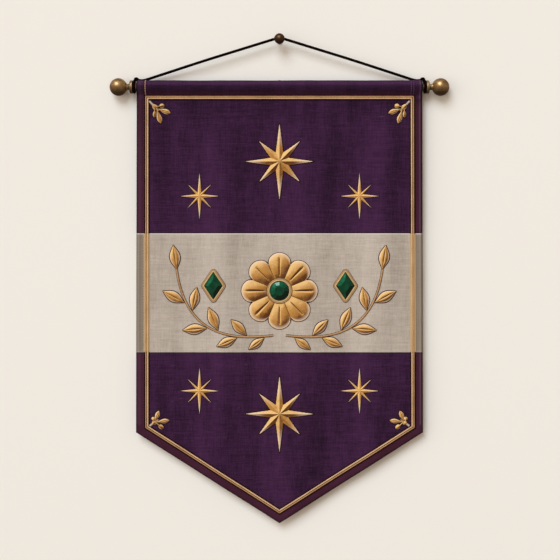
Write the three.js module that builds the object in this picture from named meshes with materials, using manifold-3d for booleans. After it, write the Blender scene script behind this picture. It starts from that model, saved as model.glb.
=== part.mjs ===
// Heraldic pennant on its hanging rod, with the cord and the wall peg that carry it.
// Millimetres, +Z up, the front faces -Y. The origin is on the wall, in the middle of the peg's foot.

import * as THREE from "three";
import { mergeVertices } from "three/addons/utils/BufferGeometryUtils.js";
import Module from "manifold-3d";

const { lerp, smoothstep, degToRad, radToDeg } = THREE.MathUtils;
const wasm = await Module();
wasm.setup();

// Clearance between neighbouring pieces, and between the cloth and what is sewn on it
const CLEARANCE = 0.3;
const SEWN_GAP = 0.4;

// Wall peg
const PEG_FOOT_RADIUS = 5;
const PEG_FOOT_DEPTH = 1.5;
const PEG_SHANK_RADIUS = 1.6;
const PEG_KNOB_RADIUS = 8;
const PEG_KNOB_DEPTH = 24.5;

// Rod, with a turned-down neck at each end for the cord
const ROD_RADIUS = 8.5;
const ROD_NECK_RADIUS = 6;
const ROD_SHOULDER = 224;
const ROD_DEPTH = 14.5;
const ROD_LEVEL = -74.5;

// Finials: a collar, a thin neck and a ball
const COLLAR_START = 231.6;
const COLLAR_RADIUS = 10.7;
const COLLAR_WIDTH = 5.8;
const COLLAR_INNER_ROUNDING = 1.2;
const COLLAR_OUTER_ROUNDING = 3.4;
const FINIAL_NECK_RADIUS = 4.3;
const BALL_RADIUS = 13.8;
const BALL_CENTRE = 254;

// Cord, with one turn round each rod neck and a knot on top of it
const CORD_RADIUS = 2;
const KNOT_RADIUS = 3.4;
const KNOT_HEIGHT = 5.2;
const CORD_STEPS = 52;

// Cloth: width, the levels of its seams, corners and point, and its layers
const CLOTH_HALF_WIDTH = 225;
const CLOTH_FLARE = 1.2;
const UPPER_SEAM = -305;
const LOWER_SEAM = -493;
const SIDE_CORNER = -619;
const POINT = -762;
const LAYER = 1.2;
const HEM_WIDTH = 12.6;
const HEM_THICKNESS = 2.2;
const POCKET_CLOSING = 12;
const POCKET_TAIL = 18.5;
const SHEET_LAP = 3;

// Folds that run down the cloth: where each crest stands under the heading and level with the
// point, its half width, and how far it comes forward
const FOLD_START = -94;
const FOLD_GROWTH = 90;
const FOLDS = [
  { atHeading: -212, atPoint: -92, halfWidth: 25, rise: 2.4 },
  { atHeading: -104, atPoint: -66, halfWidth: 33, rise: 3.0 },
  { atHeading: 40, atPoint: 24, halfWidth: 38, rise: 3.2 },
  { atHeading: 152, atPoint: 84, halfWidth: 28, rise: 2.6 },
  { atHeading: 218, atPoint: 120, halfWidth: 24, rise: 2.0 },
];

// Sides of the turned pieces
const ROD_SIDES = 20;
const FINIAL_SIDES = 22;
const PEG_SIDES = 18;

// Spacing of the cloth's points across and down
const COLUMN_COUNT = 28;
const ROW_SPACING = 36;

// Twin-cord braid: its upper level, its width, and its height across that width
const BRAID_TOP = -88.4;
const BRAID_WIDTH = 6.2;
const BRAID_SPACING = 34;
const BRAID_PROFILE = [
  { across: 0, height: 0.5 },
  { across: 0.18, height: 1.5 },
  { across: 0.4, height: 0.7 },
  { across: 0.6, height: 1.6 },
  { across: 0.84, height: 1.5 },
  { across: 1, height: 0.5 },
];

// Eight-pointed stars: reach of the upright, level and slanting rays, distance of the notches and
// how far they turn from the straight rays, and the height of the middle above the cloth
const STAR_EDGE = 1.0;
const LARGE_STAR = {
  upright: 61.5, level: 55.2, slanting: 46.8, notch: 16.2, notchTurn: 22.5, crown: 3.2, steps: 4,
};
const SMALL_STAR = {
  upright: 35.9, level: 29.9, slanting: 26, notch: 6.2, notchTurn: 28, crown: 2.6, steps: 3,
};
const STARS = [
  { name: "large_star_upper", x: 0, z: -192.2, size: LARGE_STAR },
  { name: "small_star_upper_left", x: -126, z: -246.7, size: SMALL_STAR },
  { name: "small_star_upper_right", x: 126, z: -246.7, size: SMALL_STAR },
  { name: "small_star_lower_left", x: -126, z: -553.5, size: SMALL_STAR },
  { name: "small_star_lower_right", x: 126, z: -553.5, size: SMALL_STAR },
  { name: "large_star_lower", x: 0, z: -589.7, size: LARGE_STAR },
];

// Corner sprigs: a stem, two long leaves and two buds, drawn from the border's inner corner
const SPRIG = { stem: 21, stemWidth: 1.3 };
const SPRIG_LEAF = { width: 3.7, steps: 5, skew: 1.7, fullness: 0.85 };
const SPRIG_BUD = { width: 3.2, steps: 4, skew: 2.2, fullness: 0.55 };
const UPPER_GROWTH = [
  { shape: SPRIG_LEAF, from: 16, reach: 40, turn: 15 },
  { shape: SPRIG_LEAF, from: 16, reach: 40, turn: -15 },
  { shape: SPRIG_BUD, from: 10, reach: 26, turn: 24 },
  { shape: SPRIG_BUD, from: 9, reach: 27, turn: -21 },
];
const LOWER_GROWTH = [
  { shape: SPRIG_LEAF, from: 11, reach: 35, turn: 22 },
  { shape: SPRIG_LEAF, from: 12, reach: 40, turn: -20 },
  { shape: SPRIG_BUD, from: 9, reach: 21, turn: 30 },
  { shape: SPRIG_BUD, from: 12, reach: 26, turn: -41 },
];
const SPRIGS = [
  { name: "sprig_upper_left", side: -1, x: 205, z: -97, heading: -46.5, scale: 1, growth: UPPER_GROWTH },
  { name: "sprig_upper_right", side: 1, x: 205, z: -97, heading: -46.5, scale: 1, growth: UPPER_GROWTH },
  { name: "sprig_lower_left", side: -1, x: 204.4, z: -608.6, heading: 36, scale: 0.8, growth: LOWER_GROWTH },
  { name: "sprig_lower_right", side: 1, x: 204.4, z: -608.6, heading: 36, scale: 0.8, growth: LOWER_GROWTH },
];

// Middle ornament: a rosette round a stone, two leafy sprays and two set lozenges
const ROSETTE_LEVEL = -396;
const ROSETTE_PETALS = 8;
const ROSETTE_RADIUS = 60;
const ROSETTE_SECTORS = 40;
const ROSETTE_WAIST = 0.76;
const ROSETTE_CROWN = 3;
const STONE_RADIUS = 15;
const RIM_WIDTH = 5;
const STONE_HEIGHT = 4;
const RIM_HEIGHT = 2.8;
const LOZENGE = { x: 104, z: -388, halfWidth: 14, halfHeight: 21 };
const SPRAY_STEM_WIDTH = 1.7;
const SPRAY_LEAF = { slimness: 0.21, steps: 5, skew: 1, fullness: 1.15 };
const SPRAY_STEPS = 12;
const SPRAY_ROUTE = [
  { x: 10, z: -466 },
  { x: 76, z: -474 },
  { x: 148, z: -468 },
  { x: 162, z: -362 },
];
const SPRAY_LEAVES = [
  { along: 0.07, side: 1, length: 30, spread: 32 },
  { along: 0.2, side: -1, length: 34, spread: 44 },
  { along: 0.27, side: 1, length: 34, spread: 30 },
  { along: 0.42, side: -1, length: 38, spread: 46 },
  { along: 0.5, side: 1, length: 38, spread: 36 },
  { along: 0.67, side: -1, length: 36, spread: 46 },
  { along: 0.75, side: 1, length: 38, spread: 36 },
  { along: 1, side: 0, length: 38, spread: 0 },
];
const LEAF_EDGE = 0.9;
const LEAF_CROWN = 2.4;
const STEM_CROWN = 1.7;
const LEAF_CLEARANCE = 0.7;
const BLUNT_END = 0.35;

// Finishes
const FINISHES = {
  purpleCloth: { color: "#412743", roughness: 0.95, metalness: 0 },
  paleCloth: { color: "#bfb0a0", roughness: 0.95, metalness: 0 },
  goldThread: { color: "#c99f63", roughness: 0.6, metalness: 0.2 },
  paleGold: { color: "#dcc08d", roughness: 0.5, metalness: 0.3 },
  emerald: { color: "#0d4a36", roughness: 0.25, metalness: 0 },
  brass: { color: "#8a6537", roughness: 0.35, metalness: 1 },
  bronze: { color: "#35271c", roughness: 0.35, metalness: 1 },
  wood: { color: "#4a2f1d", roughness: 0.7, metalness: 0 },
  cordBlack: { color: "#1d1210", roughness: 0.85, metalness: 0 },
};

// Measures that follow from the sizes above
const POCKET_INNER = ROD_RADIUS + CLEARANCE;
const POCKET_OUTER = POCKET_INNER + LAYER;
const POCKET_LEAN = Math.acos(POCKET_INNER / POCKET_CLOSING);
const V_SLOPE = (SIDE_CORNER - POINT) / (CLOTH_HALF_WIDTH + CLOTH_FLARE);
const V_STRETCH = Math.hypot(1, V_SLOPE);
const TURNS_START = CLOTH_HALF_WIDTH + CLEARANCE;
const TURNS_END = TURNS_START + 2 * CORD_RADIUS;
const TURNS_OUTER = ROD_NECK_RADIUS + CLEARANCE + 2 * CORD_RADIUS;
const KNOT_CENTRE = TURNS_START + CORD_RADIUS + 0.4;
const KNOT_LEVEL = ROD_LEVEL + TURNS_OUTER + CLEARANCE + KNOT_HEIGHT / 2;
const CORD_APEX = PEG_SHANK_RADIUS + CLEARANCE + CORD_RADIUS;

function mesh(name, geometry, finish) {
  const part = new THREE.Mesh(geometry, new THREE.MeshStandardMaterial(FINISHES[finish]));
  part.name = name;
  return part;
}

// Joins equal points and drops the empty triangles at poles, so that only the closed skin is left.
function cleaned(geometry) {
  const bare = geometry.clone();
  bare.deleteAttribute("normal");
  bare.deleteAttribute("uv");
  const merged = mergeVertices(bare, 1e-4);
  const kept = [];
  for (let i = 0; i < merged.index.count; i += 3) {
    const [a, b, c] = [merged.index.getX(i), merged.index.getX(i + 1), merged.index.getX(i + 2)];
    if (a !== b && b !== c && c !== a) kept.push(a, b, c);
  }
  merged.setIndex(kept);
  return merged;
}

function joined(geometries) {
  const solids = geometries.map((geometry) => {
    const clean = cleaned(geometry);
    const vertProperties = Float32Array.from(clean.attributes.position.array);
    const triVerts = Uint32Array.from(clean.index.array);
    return new wasm.Manifold(new wasm.Mesh({ numProp: 3, vertProperties, triVerts }));
  });
  const whole = solids.reduce((sum, solid) => sum.add(solid)).getMesh();
  const geometry = new THREE.BufferGeometry();
  geometry.setAttribute("position", new THREE.BufferAttribute(whole.vertProperties, 3));
  geometry.setIndex(new THREE.BufferAttribute(whole.triVerts, 1));
  return geometry;
}

// A profile of [radius, distance along the axis] pairs, turned about that axis.
function turned(profile, segments) {
  const points = profile.map(([radius, along]) => new THREE.Vector2(radius, along));
  return cleaned(new THREE.LatheGeometry(points, segments));
}

function arcPoints(centre, radius, from, to, steps) {
  return Array.from({ length: steps + 1 }, (_, i) => {
    const angle = degToRad(lerp(from, to, i / steps));
    return [centre[0] + radius * Math.cos(angle), centre[1] + radius * Math.sin(angle)];
  });
}

// How far the folds bring the cloth forward at a place on it.
function foldRise(x, z) {
  const below = Math.max(FOLD_START - z, 0);
  const down = below / (FOLD_START - POINT);
  let rise = 0;
  for (const fold of FOLDS) {
    const crest = lerp(fold.atHeading, fold.atPoint, down);
    rise += fold.rise * Math.exp(-(((x - crest) / fold.halfWidth) ** 2));
  }
  return rise * smoothstep(below, 0, FOLD_GROWTH);
}

const clothFront = (x, z) => -ROD_DEPTH - LAYER - foldRise(x, z);
const halfWidthAt = (z) => CLOTH_HALF_WIDTH + (CLOTH_FLARE * z) / SIDE_CORNER;
const lowerEdgeAt = (x, inset) => POINT + V_SLOPE * Math.abs(x) + inset * V_STRETCH;

// Doubled signed area of a facet seen from the front, positive when it runs anticlockwise.
function signedArea([a, b, c]) {
  return (b.x - a.x) * (c.z - a.z) - (c.x - a.x) * (b.z - a.z);
}

// Facets between neighbouring rows of points; places where points meet give no facet.
function facetsBetween(rows) {
  const facets = [];
  for (let row = 1; row < rows.length; row += 1) {
    for (let column = 1; column < rows[row].length; column += 1) {
      const [a, b] = [rows[row - 1][column - 1], rows[row - 1][column]];
      const [d, c] = [rows[row][column - 1], rows[row][column]];
      facets.push([a, b, c], [a, c, d]);
    }
  }
  const flat = facets.filter((facet) => Math.abs(signedArea(facet)) > 1e-6);
  return flat.map((facet) => (signedArea(facet) > 0 ? facet : facet.toReversed()));
}

// A closed solid whose front and back stand at the given depths over a flat net of facets.
function solidOver(facets, frontOf, backOf) {
  const positions = [];
  const places = new Map();
  const edges = new Set();
  const index = [];
  const cornerOf = (point) => {
    const key = `${point.x.toFixed(3)} ${point.z.toFixed(3)}`;
    if (!places.has(key)) {
      places.set(key, places.size);
      positions.push(point.x, frontOf(point), point.z, point.x, backOf(point), point.z);
    }
    return 2 * places.get(key);
  };
  for (const facet of facets) {
    const [a, b, c] = facet.map(cornerOf);
    index.push(a, b, c, a + 1, c + 1, b + 1);
    for (const edge of [[a, b], [b, c], [c, a]]) edges.add(edge.join());
  }
  for (const edge of edges) {
    const [a, b] = edge.split(",").map(Number);
    if (!edges.has([b, a].join())) index.push(b, a, a + 1, b, a + 1, b + 1);
  }
  const geometry = new THREE.BufferGeometry();
  geometry.setAttribute("position", new THREE.Float32BufferAttribute(positions, 3));
  geometry.setIndex(index);
  return geometry;
}

// A piece sewn flat on the cloth, standing up from it by each point's height.
function sewnPiece(facets) {
  const back = (point) => clothFront(point.x, point.z) - SEWN_GAP;
  return solidOver(facets, (point) => back(point) - point.height, back);
}

// Places across the cloth as parts of its half width, with a close pair at each hem.
function columnFractions() {
  const hem = 1 - HEM_WIDTH / CLOTH_HALF_WIDTH;
  const inner = hem - 1 / CLOTH_HALF_WIDTH;
  const middle = Array.from({ length: COLUMN_COUNT + 1 }, (_, i) => lerp(-inner, inner, i / COLUMN_COUNT));
  const edge = [hem, (1 + hem) / 2, 1];
  return [...edge.toReversed().map((place) => -place), ...middle, ...edge];
}

function rowLevels(top, bottom) {
  const count = Math.ceil((top - bottom) / ROW_SPACING);
  return Array.from({ length: count + 1 }, (_, i) => lerp(top, bottom, i / count));
}

const fractions = columnFractions();

function levelRow(z) {
  return fractions.map((fraction) => ({ x: fraction * halfWidthAt(z), z }));
}

function panel(rows) {
  const behind = ({ x, z }) => {
    const sideHem = halfWidthAt(z) - Math.abs(x) < HEM_WIDTH + 0.5;
    const pointHem = z - lowerEdgeAt(x, HEM_WIDTH) < 0.5;
    return clothFront(x, z) + (sideHem || pointHem ? HEM_THICKNESS : LAYER);
  };
  return solidOver(facetsBetween(rows), ({ x, z }) => clothFront(x, z), behind);
}

// The folded heading in section: a circle round the rod that narrows towards its seam below.
function teardrop(radius, foot) {
  const lean = radToDeg(POCKET_LEAN);
  const round = arcPoints([0, 0], radius, -90 - lean, -450 + lean, 30);
  return [...round, ...foot].map(([y, z]) => new THREE.Vector2(y, z));
}

function heading() {
  const run = (POCKET_OUTER * Math.sin(POCKET_LEAN) - LAYER) / Math.cos(POCKET_LEAN);
  const join = POCKET_OUTER * Math.cos(POCKET_LEAN) + run * Math.sin(POCKET_LEAN);
  const tail = [[LAYER, -join], [LAYER, -POCKET_TAIL], [-LAYER, -POCKET_TAIL], [-LAYER, -join]];
  const section = new THREE.Shape(teardrop(POCKET_OUTER, tail));
  section.holes.push(new THREE.Path(teardrop(POCKET_INNER, [[0, -POCKET_CLOSING]]).reverse()));
  const pocket = new THREE.ExtrudeGeometry(section, { depth: 2 * CLOTH_HALF_WIDTH, bevelEnabled: false });
  const [alongX, alongY, alongZ] = [0, 1, 2].map((i) => new THREE.Vector3().setComponent(i, 1));
  pocket.applyMatrix4(new THREE.Matrix4().makeBasis(alongY, alongZ, alongX));
  return pocket.translate(-CLOTH_HALF_WIDTH, -ROD_DEPTH, ROD_LEVEL);
}

function upperPanel() {
  const top = ROD_LEVEL - POCKET_TAIL + SHEET_LAP;
  const sheet = panel(rowLevels(top, UPPER_SEAM).map(levelRow));
  return joined([heading(), sheet]);
}

function bandPanel() {
  return panel(rowLevels(UPPER_SEAM - CLEARANCE, LOWER_SEAM + CLEARANCE).map(levelRow));
}

function lowerPanel() {
  const top = LOWER_SEAM;
  const count = Math.ceil((top - POINT) / ROW_SPACING);
  const hemRows = [HEM_WIDTH + 1, HEM_WIDTH, HEM_WIDTH / 2, 0];
  const plain = Array.from({ length: count }, (_, i) => i / count);
  const rowAt = (levelOf) => fractions.map((fraction) => {
    const x = fraction * (CLOTH_HALF_WIDTH + CLOTH_FLARE);
    return { x, z: levelOf(x) };
  });
  const body = plain.map((part) => rowAt((x) => lerp(top, lowerEdgeAt(x, HEM_WIDTH + 1), part)));
  return panel([...body, ...hemRows.map((inset) => rowAt((x) => lowerEdgeAt(x, inset)))]);
}

// Corners of a line that keeps one distance inside the cloth's edges, clockwise from upper left.
function borderCorners(inset, top) {
  const upper = halfWidthAt(top) - inset;
  const lower = CLOTH_HALF_WIDTH + CLOTH_FLARE - inset;
  return [
    { x: -upper, z: top },
    { x: upper, z: top },
    { x: lower, z: lowerEdgeAt(lower, inset) },
    { x: 0, z: lowerEdgeAt(0, inset) },
    { x: -lower, z: lowerEdgeAt(lower, inset) },
  ];
}

function between(a, b, part) {
  return { x: lerp(a.x, b.x, part), z: lerp(a.z, b.z, part) };
}

function braids() {
  const names = ["braid_top", "braid_right", "braid_point_right", "braid_point_left", "braid_left"];
  const outer = borderCorners(HEM_WIDTH, BRAID_TOP);
  const inner = borderCorners(HEM_WIDTH + BRAID_WIDTH, BRAID_TOP - BRAID_WIDTH);
  return names.map((name, i) => {
    const next = (i + 1) % names.length;
    const length = Math.hypot(outer[next].x - outer[i].x, outer[next].z - outer[i].z);
    const trim = CLEARANCE / length;
    const count = Math.ceil(length / BRAID_SPACING);
    const rows = Array.from({ length: count + 1 }, (_, row) => {
      const part = lerp(trim, 1 - trim, row / count);
      const edges = [between(outer[i], outer[next], part), between(inner[i], inner[next], part)];
      return BRAID_PROFILE.map(({ across, height }) => ({ ...between(...edges, across), height }));
    });
    return mesh(name, sewnPiece(facetsBetween(rows)), "goldThread");
  });
}

function star({ x, z, size }) {
  const reaches = [size.level, size.slanting, size.upright, size.slanting];
  const middle = { x, z, height: size.crown };
  const at = (reach, degrees) => {
    const angle = degToRad(degrees);
    return { x: x + reach * Math.cos(angle), z: z + reach * Math.sin(angle), height: STAR_EDGE };
  };
  const facets = [];
  for (let ray = 0; ray < 8; ray += 1) {
    const tip = at(reaches[ray % 4], 45 * ray);
    const turn = ray % 2 === 0 ? size.notchTurn : 45 - size.notchTurn;
    for (const side of [-1, 1]) {
      const notch = at(size.notch, 45 * ray + side * turn);
      const line = (from) => Array.from({ length: size.steps + 1 }, (_, i) => ({
        ...between(from, tip, i / size.steps),
        height: lerp(from.height, tip.height, i / size.steps),
      }));
      facets.push(...facetsBetween([line(middle), line(notch)]));
    }
  }
  return sewnPiece(facets);
}

// Rows across a leaf or stem: left edge, ridge and right edge, following a curve.
function ribbonRows(curve, widthAt, steps, crown) {
  return Array.from({ length: steps + 1 }, (_, i) => {
    const part = i / steps;
    const centre = curve.getPointAt(part);
    const heading = curve.getTangentAt(part);
    const half = widthAt(part);
    return [-1, 0, 1].map((side) => ({
      x: centre.x - heading.y * half * side,
      z: centre.y + heading.x * half * side,
      height: side === 0 ? crown : LEAF_EDGE,
    }));
  });
}

function leaf(base, tip, halfWidth, { steps, skew, fullness }) {
  const swell = (part) => Math.max(Math.sin(Math.PI * part ** skew), 0) ** fullness;
  const widthAt = (part) => BLUNT_END + halfWidth * swell(part);
  const midrib = new THREE.LineCurve(base, tip);
  return sewnPiece(facetsBetween(ribbonRows(midrib, widthAt, steps, LEAF_CROWN)));
}

function sprig({ side, x, z, heading, scale, growth }) {
  const root = new THREE.Vector2(side * x, z);
  const place = (degrees, length) => {
    const angle = degToRad(heading + degrees);
    const step = new THREE.Vector2(-side * Math.cos(angle), Math.sin(angle));
    return root.clone().addScaledVector(step, length * scale);
  };
  const stemLine = new THREE.LineCurve(root, place(0, SPRIG.stem));
  const stem = sewnPiece(facetsBetween(ribbonRows(stemLine, () => SPRIG.stemWidth, 2, STEM_CROWN)));
  const sprouts = growth.map(({ shape, from, reach, turn }) => (
    leaf(place(0, from), place(turn, reach), shape.width * scale, shape)
  ));
  return joined([stem, ...sprouts]);
}

// Rings of points round a middle; each ring gives a radius and a height for every direction.
function roundRows(x, z, rings, sectors) {
  return rings.map((ring) => Array.from({ length: sectors + 1 }, (_, i) => {
    const angle = (2 * Math.PI * (i % sectors)) / sectors;
    const radius = ring.radius(angle);
    return { x: x + radius * Math.cos(angle), z: z + radius * Math.sin(angle), height: ring.height(angle) };
  }));
}

// A domed stone and the rim that holds it; the outline gives the stone's radius in each direction.
function setStone(x, z, outline, sectors) {
  const ring = (scale, grow, height) => ({
    radius: (angle) => scale * outline(angle) + grow,
    height: () => height,
  });
  const dome = [
    ring(0, 0, STONE_HEIGHT),
    ring(0.55, 0, STONE_HEIGHT * 0.9),
    ring(0.85, 0, STONE_HEIGHT * 0.6),
    ring(1, 0, STONE_HEIGHT * 0.3),
  ];
  const rim = [
    ring(1, CLEARANCE, RIM_HEIGHT * 0.6),
    ring(1, CLEARANCE + RIM_WIDTH / 2, RIM_HEIGHT),
    ring(1, CLEARANCE + RIM_WIDTH, RIM_HEIGHT * 0.4),
  ];
  return [dome, rim].map((rings) => sewnPiece(facetsBetween(roundRows(x, z, rings, sectors))));
}

function rosette() {
  const petal = (angle) => Math.abs(Math.cos((angle * ROSETTE_PETALS) / 2)) ** 0.6;
  const outline = (angle) => ROSETTE_RADIUS * lerp(ROSETTE_WAIST, 1, petal(angle));
  const hole = STONE_RADIUS + RIM_WIDTH + 2 * CLEARANCE;
  const rings = [
    { radius: () => hole, height: () => LEAF_EDGE },
    { radius: (a) => lerp(hole, outline(a), 0.5), height: (a) => lerp(LEAF_EDGE, ROSETTE_CROWN, petal(a)) },
    { radius: outline, height: () => LEAF_EDGE },
  ];
  return sewnPiece(facetsBetween(roundRows(0, ROSETTE_LEVEL, rings, ROSETTE_SECTORS)));
}

function spray(side, label) {
  const route = new THREE.CubicBezierCurve(...SPRAY_ROUTE.map(({ x, z }) => new THREE.Vector2(side * x, z)));
  const stemRows = ribbonRows(route, () => SPRAY_STEM_WIDTH, SPRAY_STEPS, STEM_CROWN);
  const pieces = [mesh(`spray_stem_${label}`, sewnPiece(facetsBetween(stemRows)), "goldThread")];
  SPRAY_LEAVES.forEach((row, i) => {
    const heading = route.getTangentAt(row.along);
    const turn = -side * row.side;
    const way = heading.clone().rotateAround(new THREE.Vector2(), turn * degToRad(row.spread));
    const clear = row.side === 0 ? CLEARANCE : SPRAY_STEM_WIDTH + BLUNT_END + LEAF_CLEARANCE;
    const out = row.side === 0 ? heading : new THREE.Vector2(-turn * heading.y, turn * heading.x);
    const base = route.getPointAt(row.along).addScaledVector(out, clear);
    const tip = base.clone().addScaledVector(way, row.length);
    const shape = leaf(base, tip, row.length * SPRAY_LEAF.slimness, SPRAY_LEAF);
    pieces.push(mesh(`spray_leaf_${label}_${i + 1}`, shape, "goldThread"));
  });
  return pieces;
}

function ornament() {
  const lozenge = (angle) => 1
    / (Math.abs(Math.cos(angle)) / LOZENGE.halfWidth + Math.abs(Math.sin(angle)) / LOZENGE.halfHeight);
  const settings = [
    { label: "middle", x: 0, z: ROSETTE_LEVEL, outline: () => STONE_RADIUS, sectors: 20 },
    { label: "left", x: -LOZENGE.x, z: LOZENGE.z, outline: lozenge, sectors: 12 },
    { label: "right", x: LOZENGE.x, z: LOZENGE.z, outline: lozenge, sectors: 12 },
  ];
  const stones = settings.flatMap(({ label, x, z, outline, sectors }) => {
    const [stone, rim] = setStone(x, z, outline, sectors);
    return [mesh(`stone_${label}`, stone, "emerald"), mesh(`stone_rim_${label}`, rim, "paleGold")];
  });
  return [mesh("rosette", rosette(), "goldThread"), ...stones, ...spray(-1, "left"), ...spray(1, "right")];
}

function rod() {
  const end = COLLAR_START - CLEARANCE;
  const profile = [
    [0, -end],
    [ROD_NECK_RADIUS, -end],
    [ROD_NECK_RADIUS, -ROD_SHOULDER],
    [ROD_RADIUS, -ROD_SHOULDER],
    [ROD_RADIUS, ROD_SHOULDER],
    [ROD_NECK_RADIUS, ROD_SHOULDER],
    [ROD_NECK_RADIUS, end],
    [0, end],
  ];
  return turned(profile, ROD_SIDES).rotateZ(-Math.PI / 2);
}

function finial() {
  const collarEnd = COLLAR_START + COLLAR_WIDTH;
  const rounding = (face, radius, from, to) => {
    const centre = [COLLAR_RADIUS - radius, face - Math.sign(from + to) * radius];
    return arcPoints(centre, radius, from, to, 3);
  };
  const neckAngle = radToDeg(Math.acos(FINIAL_NECK_RADIUS / BALL_RADIUS));
  const profile = [
    [0, COLLAR_START],
    ...rounding(COLLAR_START, COLLAR_INNER_ROUNDING, -90, 0),
    ...rounding(collarEnd, COLLAR_OUTER_ROUNDING, 0, 90),
    [FINIAL_NECK_RADIUS, collarEnd],
    ...arcPoints([0, BALL_CENTRE], BALL_RADIUS, -neckAngle, 90, 9),
  ];
  profile.at(-1)[0] = 0;
  return turned(profile, FINIAL_SIDES);
}

function wallPeg() {
  const neckAngle = radToDeg(Math.acos(PEG_SHANK_RADIUS / PEG_KNOB_RADIUS));
  const profile = [
    [0, 0],
    [PEG_FOOT_RADIUS, 0],
    [PEG_FOOT_RADIUS, PEG_FOOT_DEPTH],
    [PEG_SHANK_RADIUS, PEG_FOOT_DEPTH],
    ...arcPoints([0, PEG_KNOB_DEPTH], PEG_KNOB_RADIUS, -neckAngle, 90, 8),
  ];
  profile.at(-1)[0] = 0;
  return turned(profile, PEG_SIDES).rotateX(Math.PI);
}

// The turn of cord round a rod neck, as a ring.
function cordTurns() {
  const bevel = CORD_RADIUS * 0.6;
  const inner = ROD_NECK_RADIUS + CLEARANCE;
  const profile = [
    [inner, TURNS_START],
    [TURNS_OUTER - bevel, TURNS_START],
    [TURNS_OUTER, TURNS_START + bevel],
    [TURNS_OUTER, TURNS_END - bevel],
    [TURNS_OUTER - bevel, TURNS_END],
    [inner, TURNS_END],
    [inner, TURNS_START],
  ];
  return turned(profile, ROD_SIDES);
}

// The cord's left half from the knot, over the heading's top and up to the peg.
function cordRoute() {
  const start = KNOT_CENTRE - KNOT_RADIUS - CLEARANCE;
  const level = ROD_LEVEL + POCKET_OUTER + CLEARANCE + CORD_RADIUS + 0.1;
  const half = [
    [-start, level + 0.2],
    [-220, level],
    [-214, level + 0.1],
    [-211, level + 0.45],
    [-208.5, level + 1],
    [-206, level + 1.75],
    [-190, level + 6.9],
    [-150, level + 19.7],
    [-110, level + 32.5],
    [-70, level + 45.3],
    [-30, level + 58.1],
    [-12, CORD_APEX - 3.2],
    [-5, CORD_APEX - 1.1],
    [-2.4, CORD_APEX - 0.4],
  ];
  const mirrored = half.toReversed().map(([x, z]) => [-x, z]);
  const route = [...half, [0, CORD_APEX], ...mirrored];
  return route.map(([x, z]) => new THREE.Vector3(x, -ROD_DEPTH, z));
}

function cordTube() {
  const sides = arcPoints([0, 0], CORD_RADIUS, 22.5, 337.5, 7).map(([x, y]) => new THREE.Vector2(x, y));
  const path = new THREE.CatmullRomCurve3(cordRoute(), false, "centripetal");
  return new THREE.ExtrudeGeometry(new THREE.Shape(sides), { steps: CORD_STEPS, extrudePath: path });
}

function knot() {
  return cleaned(new THREE.SphereGeometry(KNOT_RADIUS, 12, 8)).scale(1, 1, KNOT_HEIGHT / (2 * KNOT_RADIUS));
}

function hangingGear() {
  const gear = new THREE.Group();
  const bar = mesh("hanging_rod", rod(), "wood");
  bar.position.set(0, -ROD_DEPTH, ROD_LEVEL);
  gear.add(bar, mesh("hanging_cord", cordTube(), "cordBlack"), mesh("wall_peg", wallPeg(), "bronze"));
  for (const [label, side] of [["left", -1], ["right", 1]]) {
    const turn = (-side * Math.PI) / 2;
    const end = mesh(`finial_${label}`, finial(), "brass");
    const turns = mesh(`cord_turns_${label}`, cordTurns(), "cordBlack");
    for (const piece of [end, turns]) {
      piece.rotation.z = turn;
      piece.position.set(0, -ROD_DEPTH, ROD_LEVEL);
    }
    const tie = mesh(`cord_knot_${label}`, knot(), "cordBlack");
    tie.position.set(side * KNOT_CENTRE, -ROD_DEPTH, KNOT_LEVEL);
    gear.add(end, turns, tie);
  }
  return gear;
}

function cloth() {
  const sheets = new THREE.Group();
  sheets.add(mesh("upper_panel", upperPanel(), "purpleCloth"));
  sheets.add(mesh("band_panel", bandPanel(), "paleCloth"));
  sheets.add(mesh("lower_panel", lowerPanel(), "purpleCloth"));
  return sheets;
}

function trim() {
  const sewn = new THREE.Group();
  sewn.add(...braids());
  sewn.add(...STARS.map((row) => mesh(row.name, star(row), "goldThread")));
  sewn.add(...SPRIGS.map((row) => mesh(row.name, sprig(row), "goldThread")));
  sewn.add(...ornament());
  return sewn;
}

const pennant = new THREE.Group();
pennant.add(cloth(), trim(), hangingGear());

export default pennant;
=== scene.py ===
"""Heraldic pennant on its hanging rod: the looks of every piece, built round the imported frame."""

import logging
import math
from dataclasses import dataclass, field
from enum import Enum
from typing import Callable, Sequence, Union

import bpy
from mathutils import Matrix, Vector, noise


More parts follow.
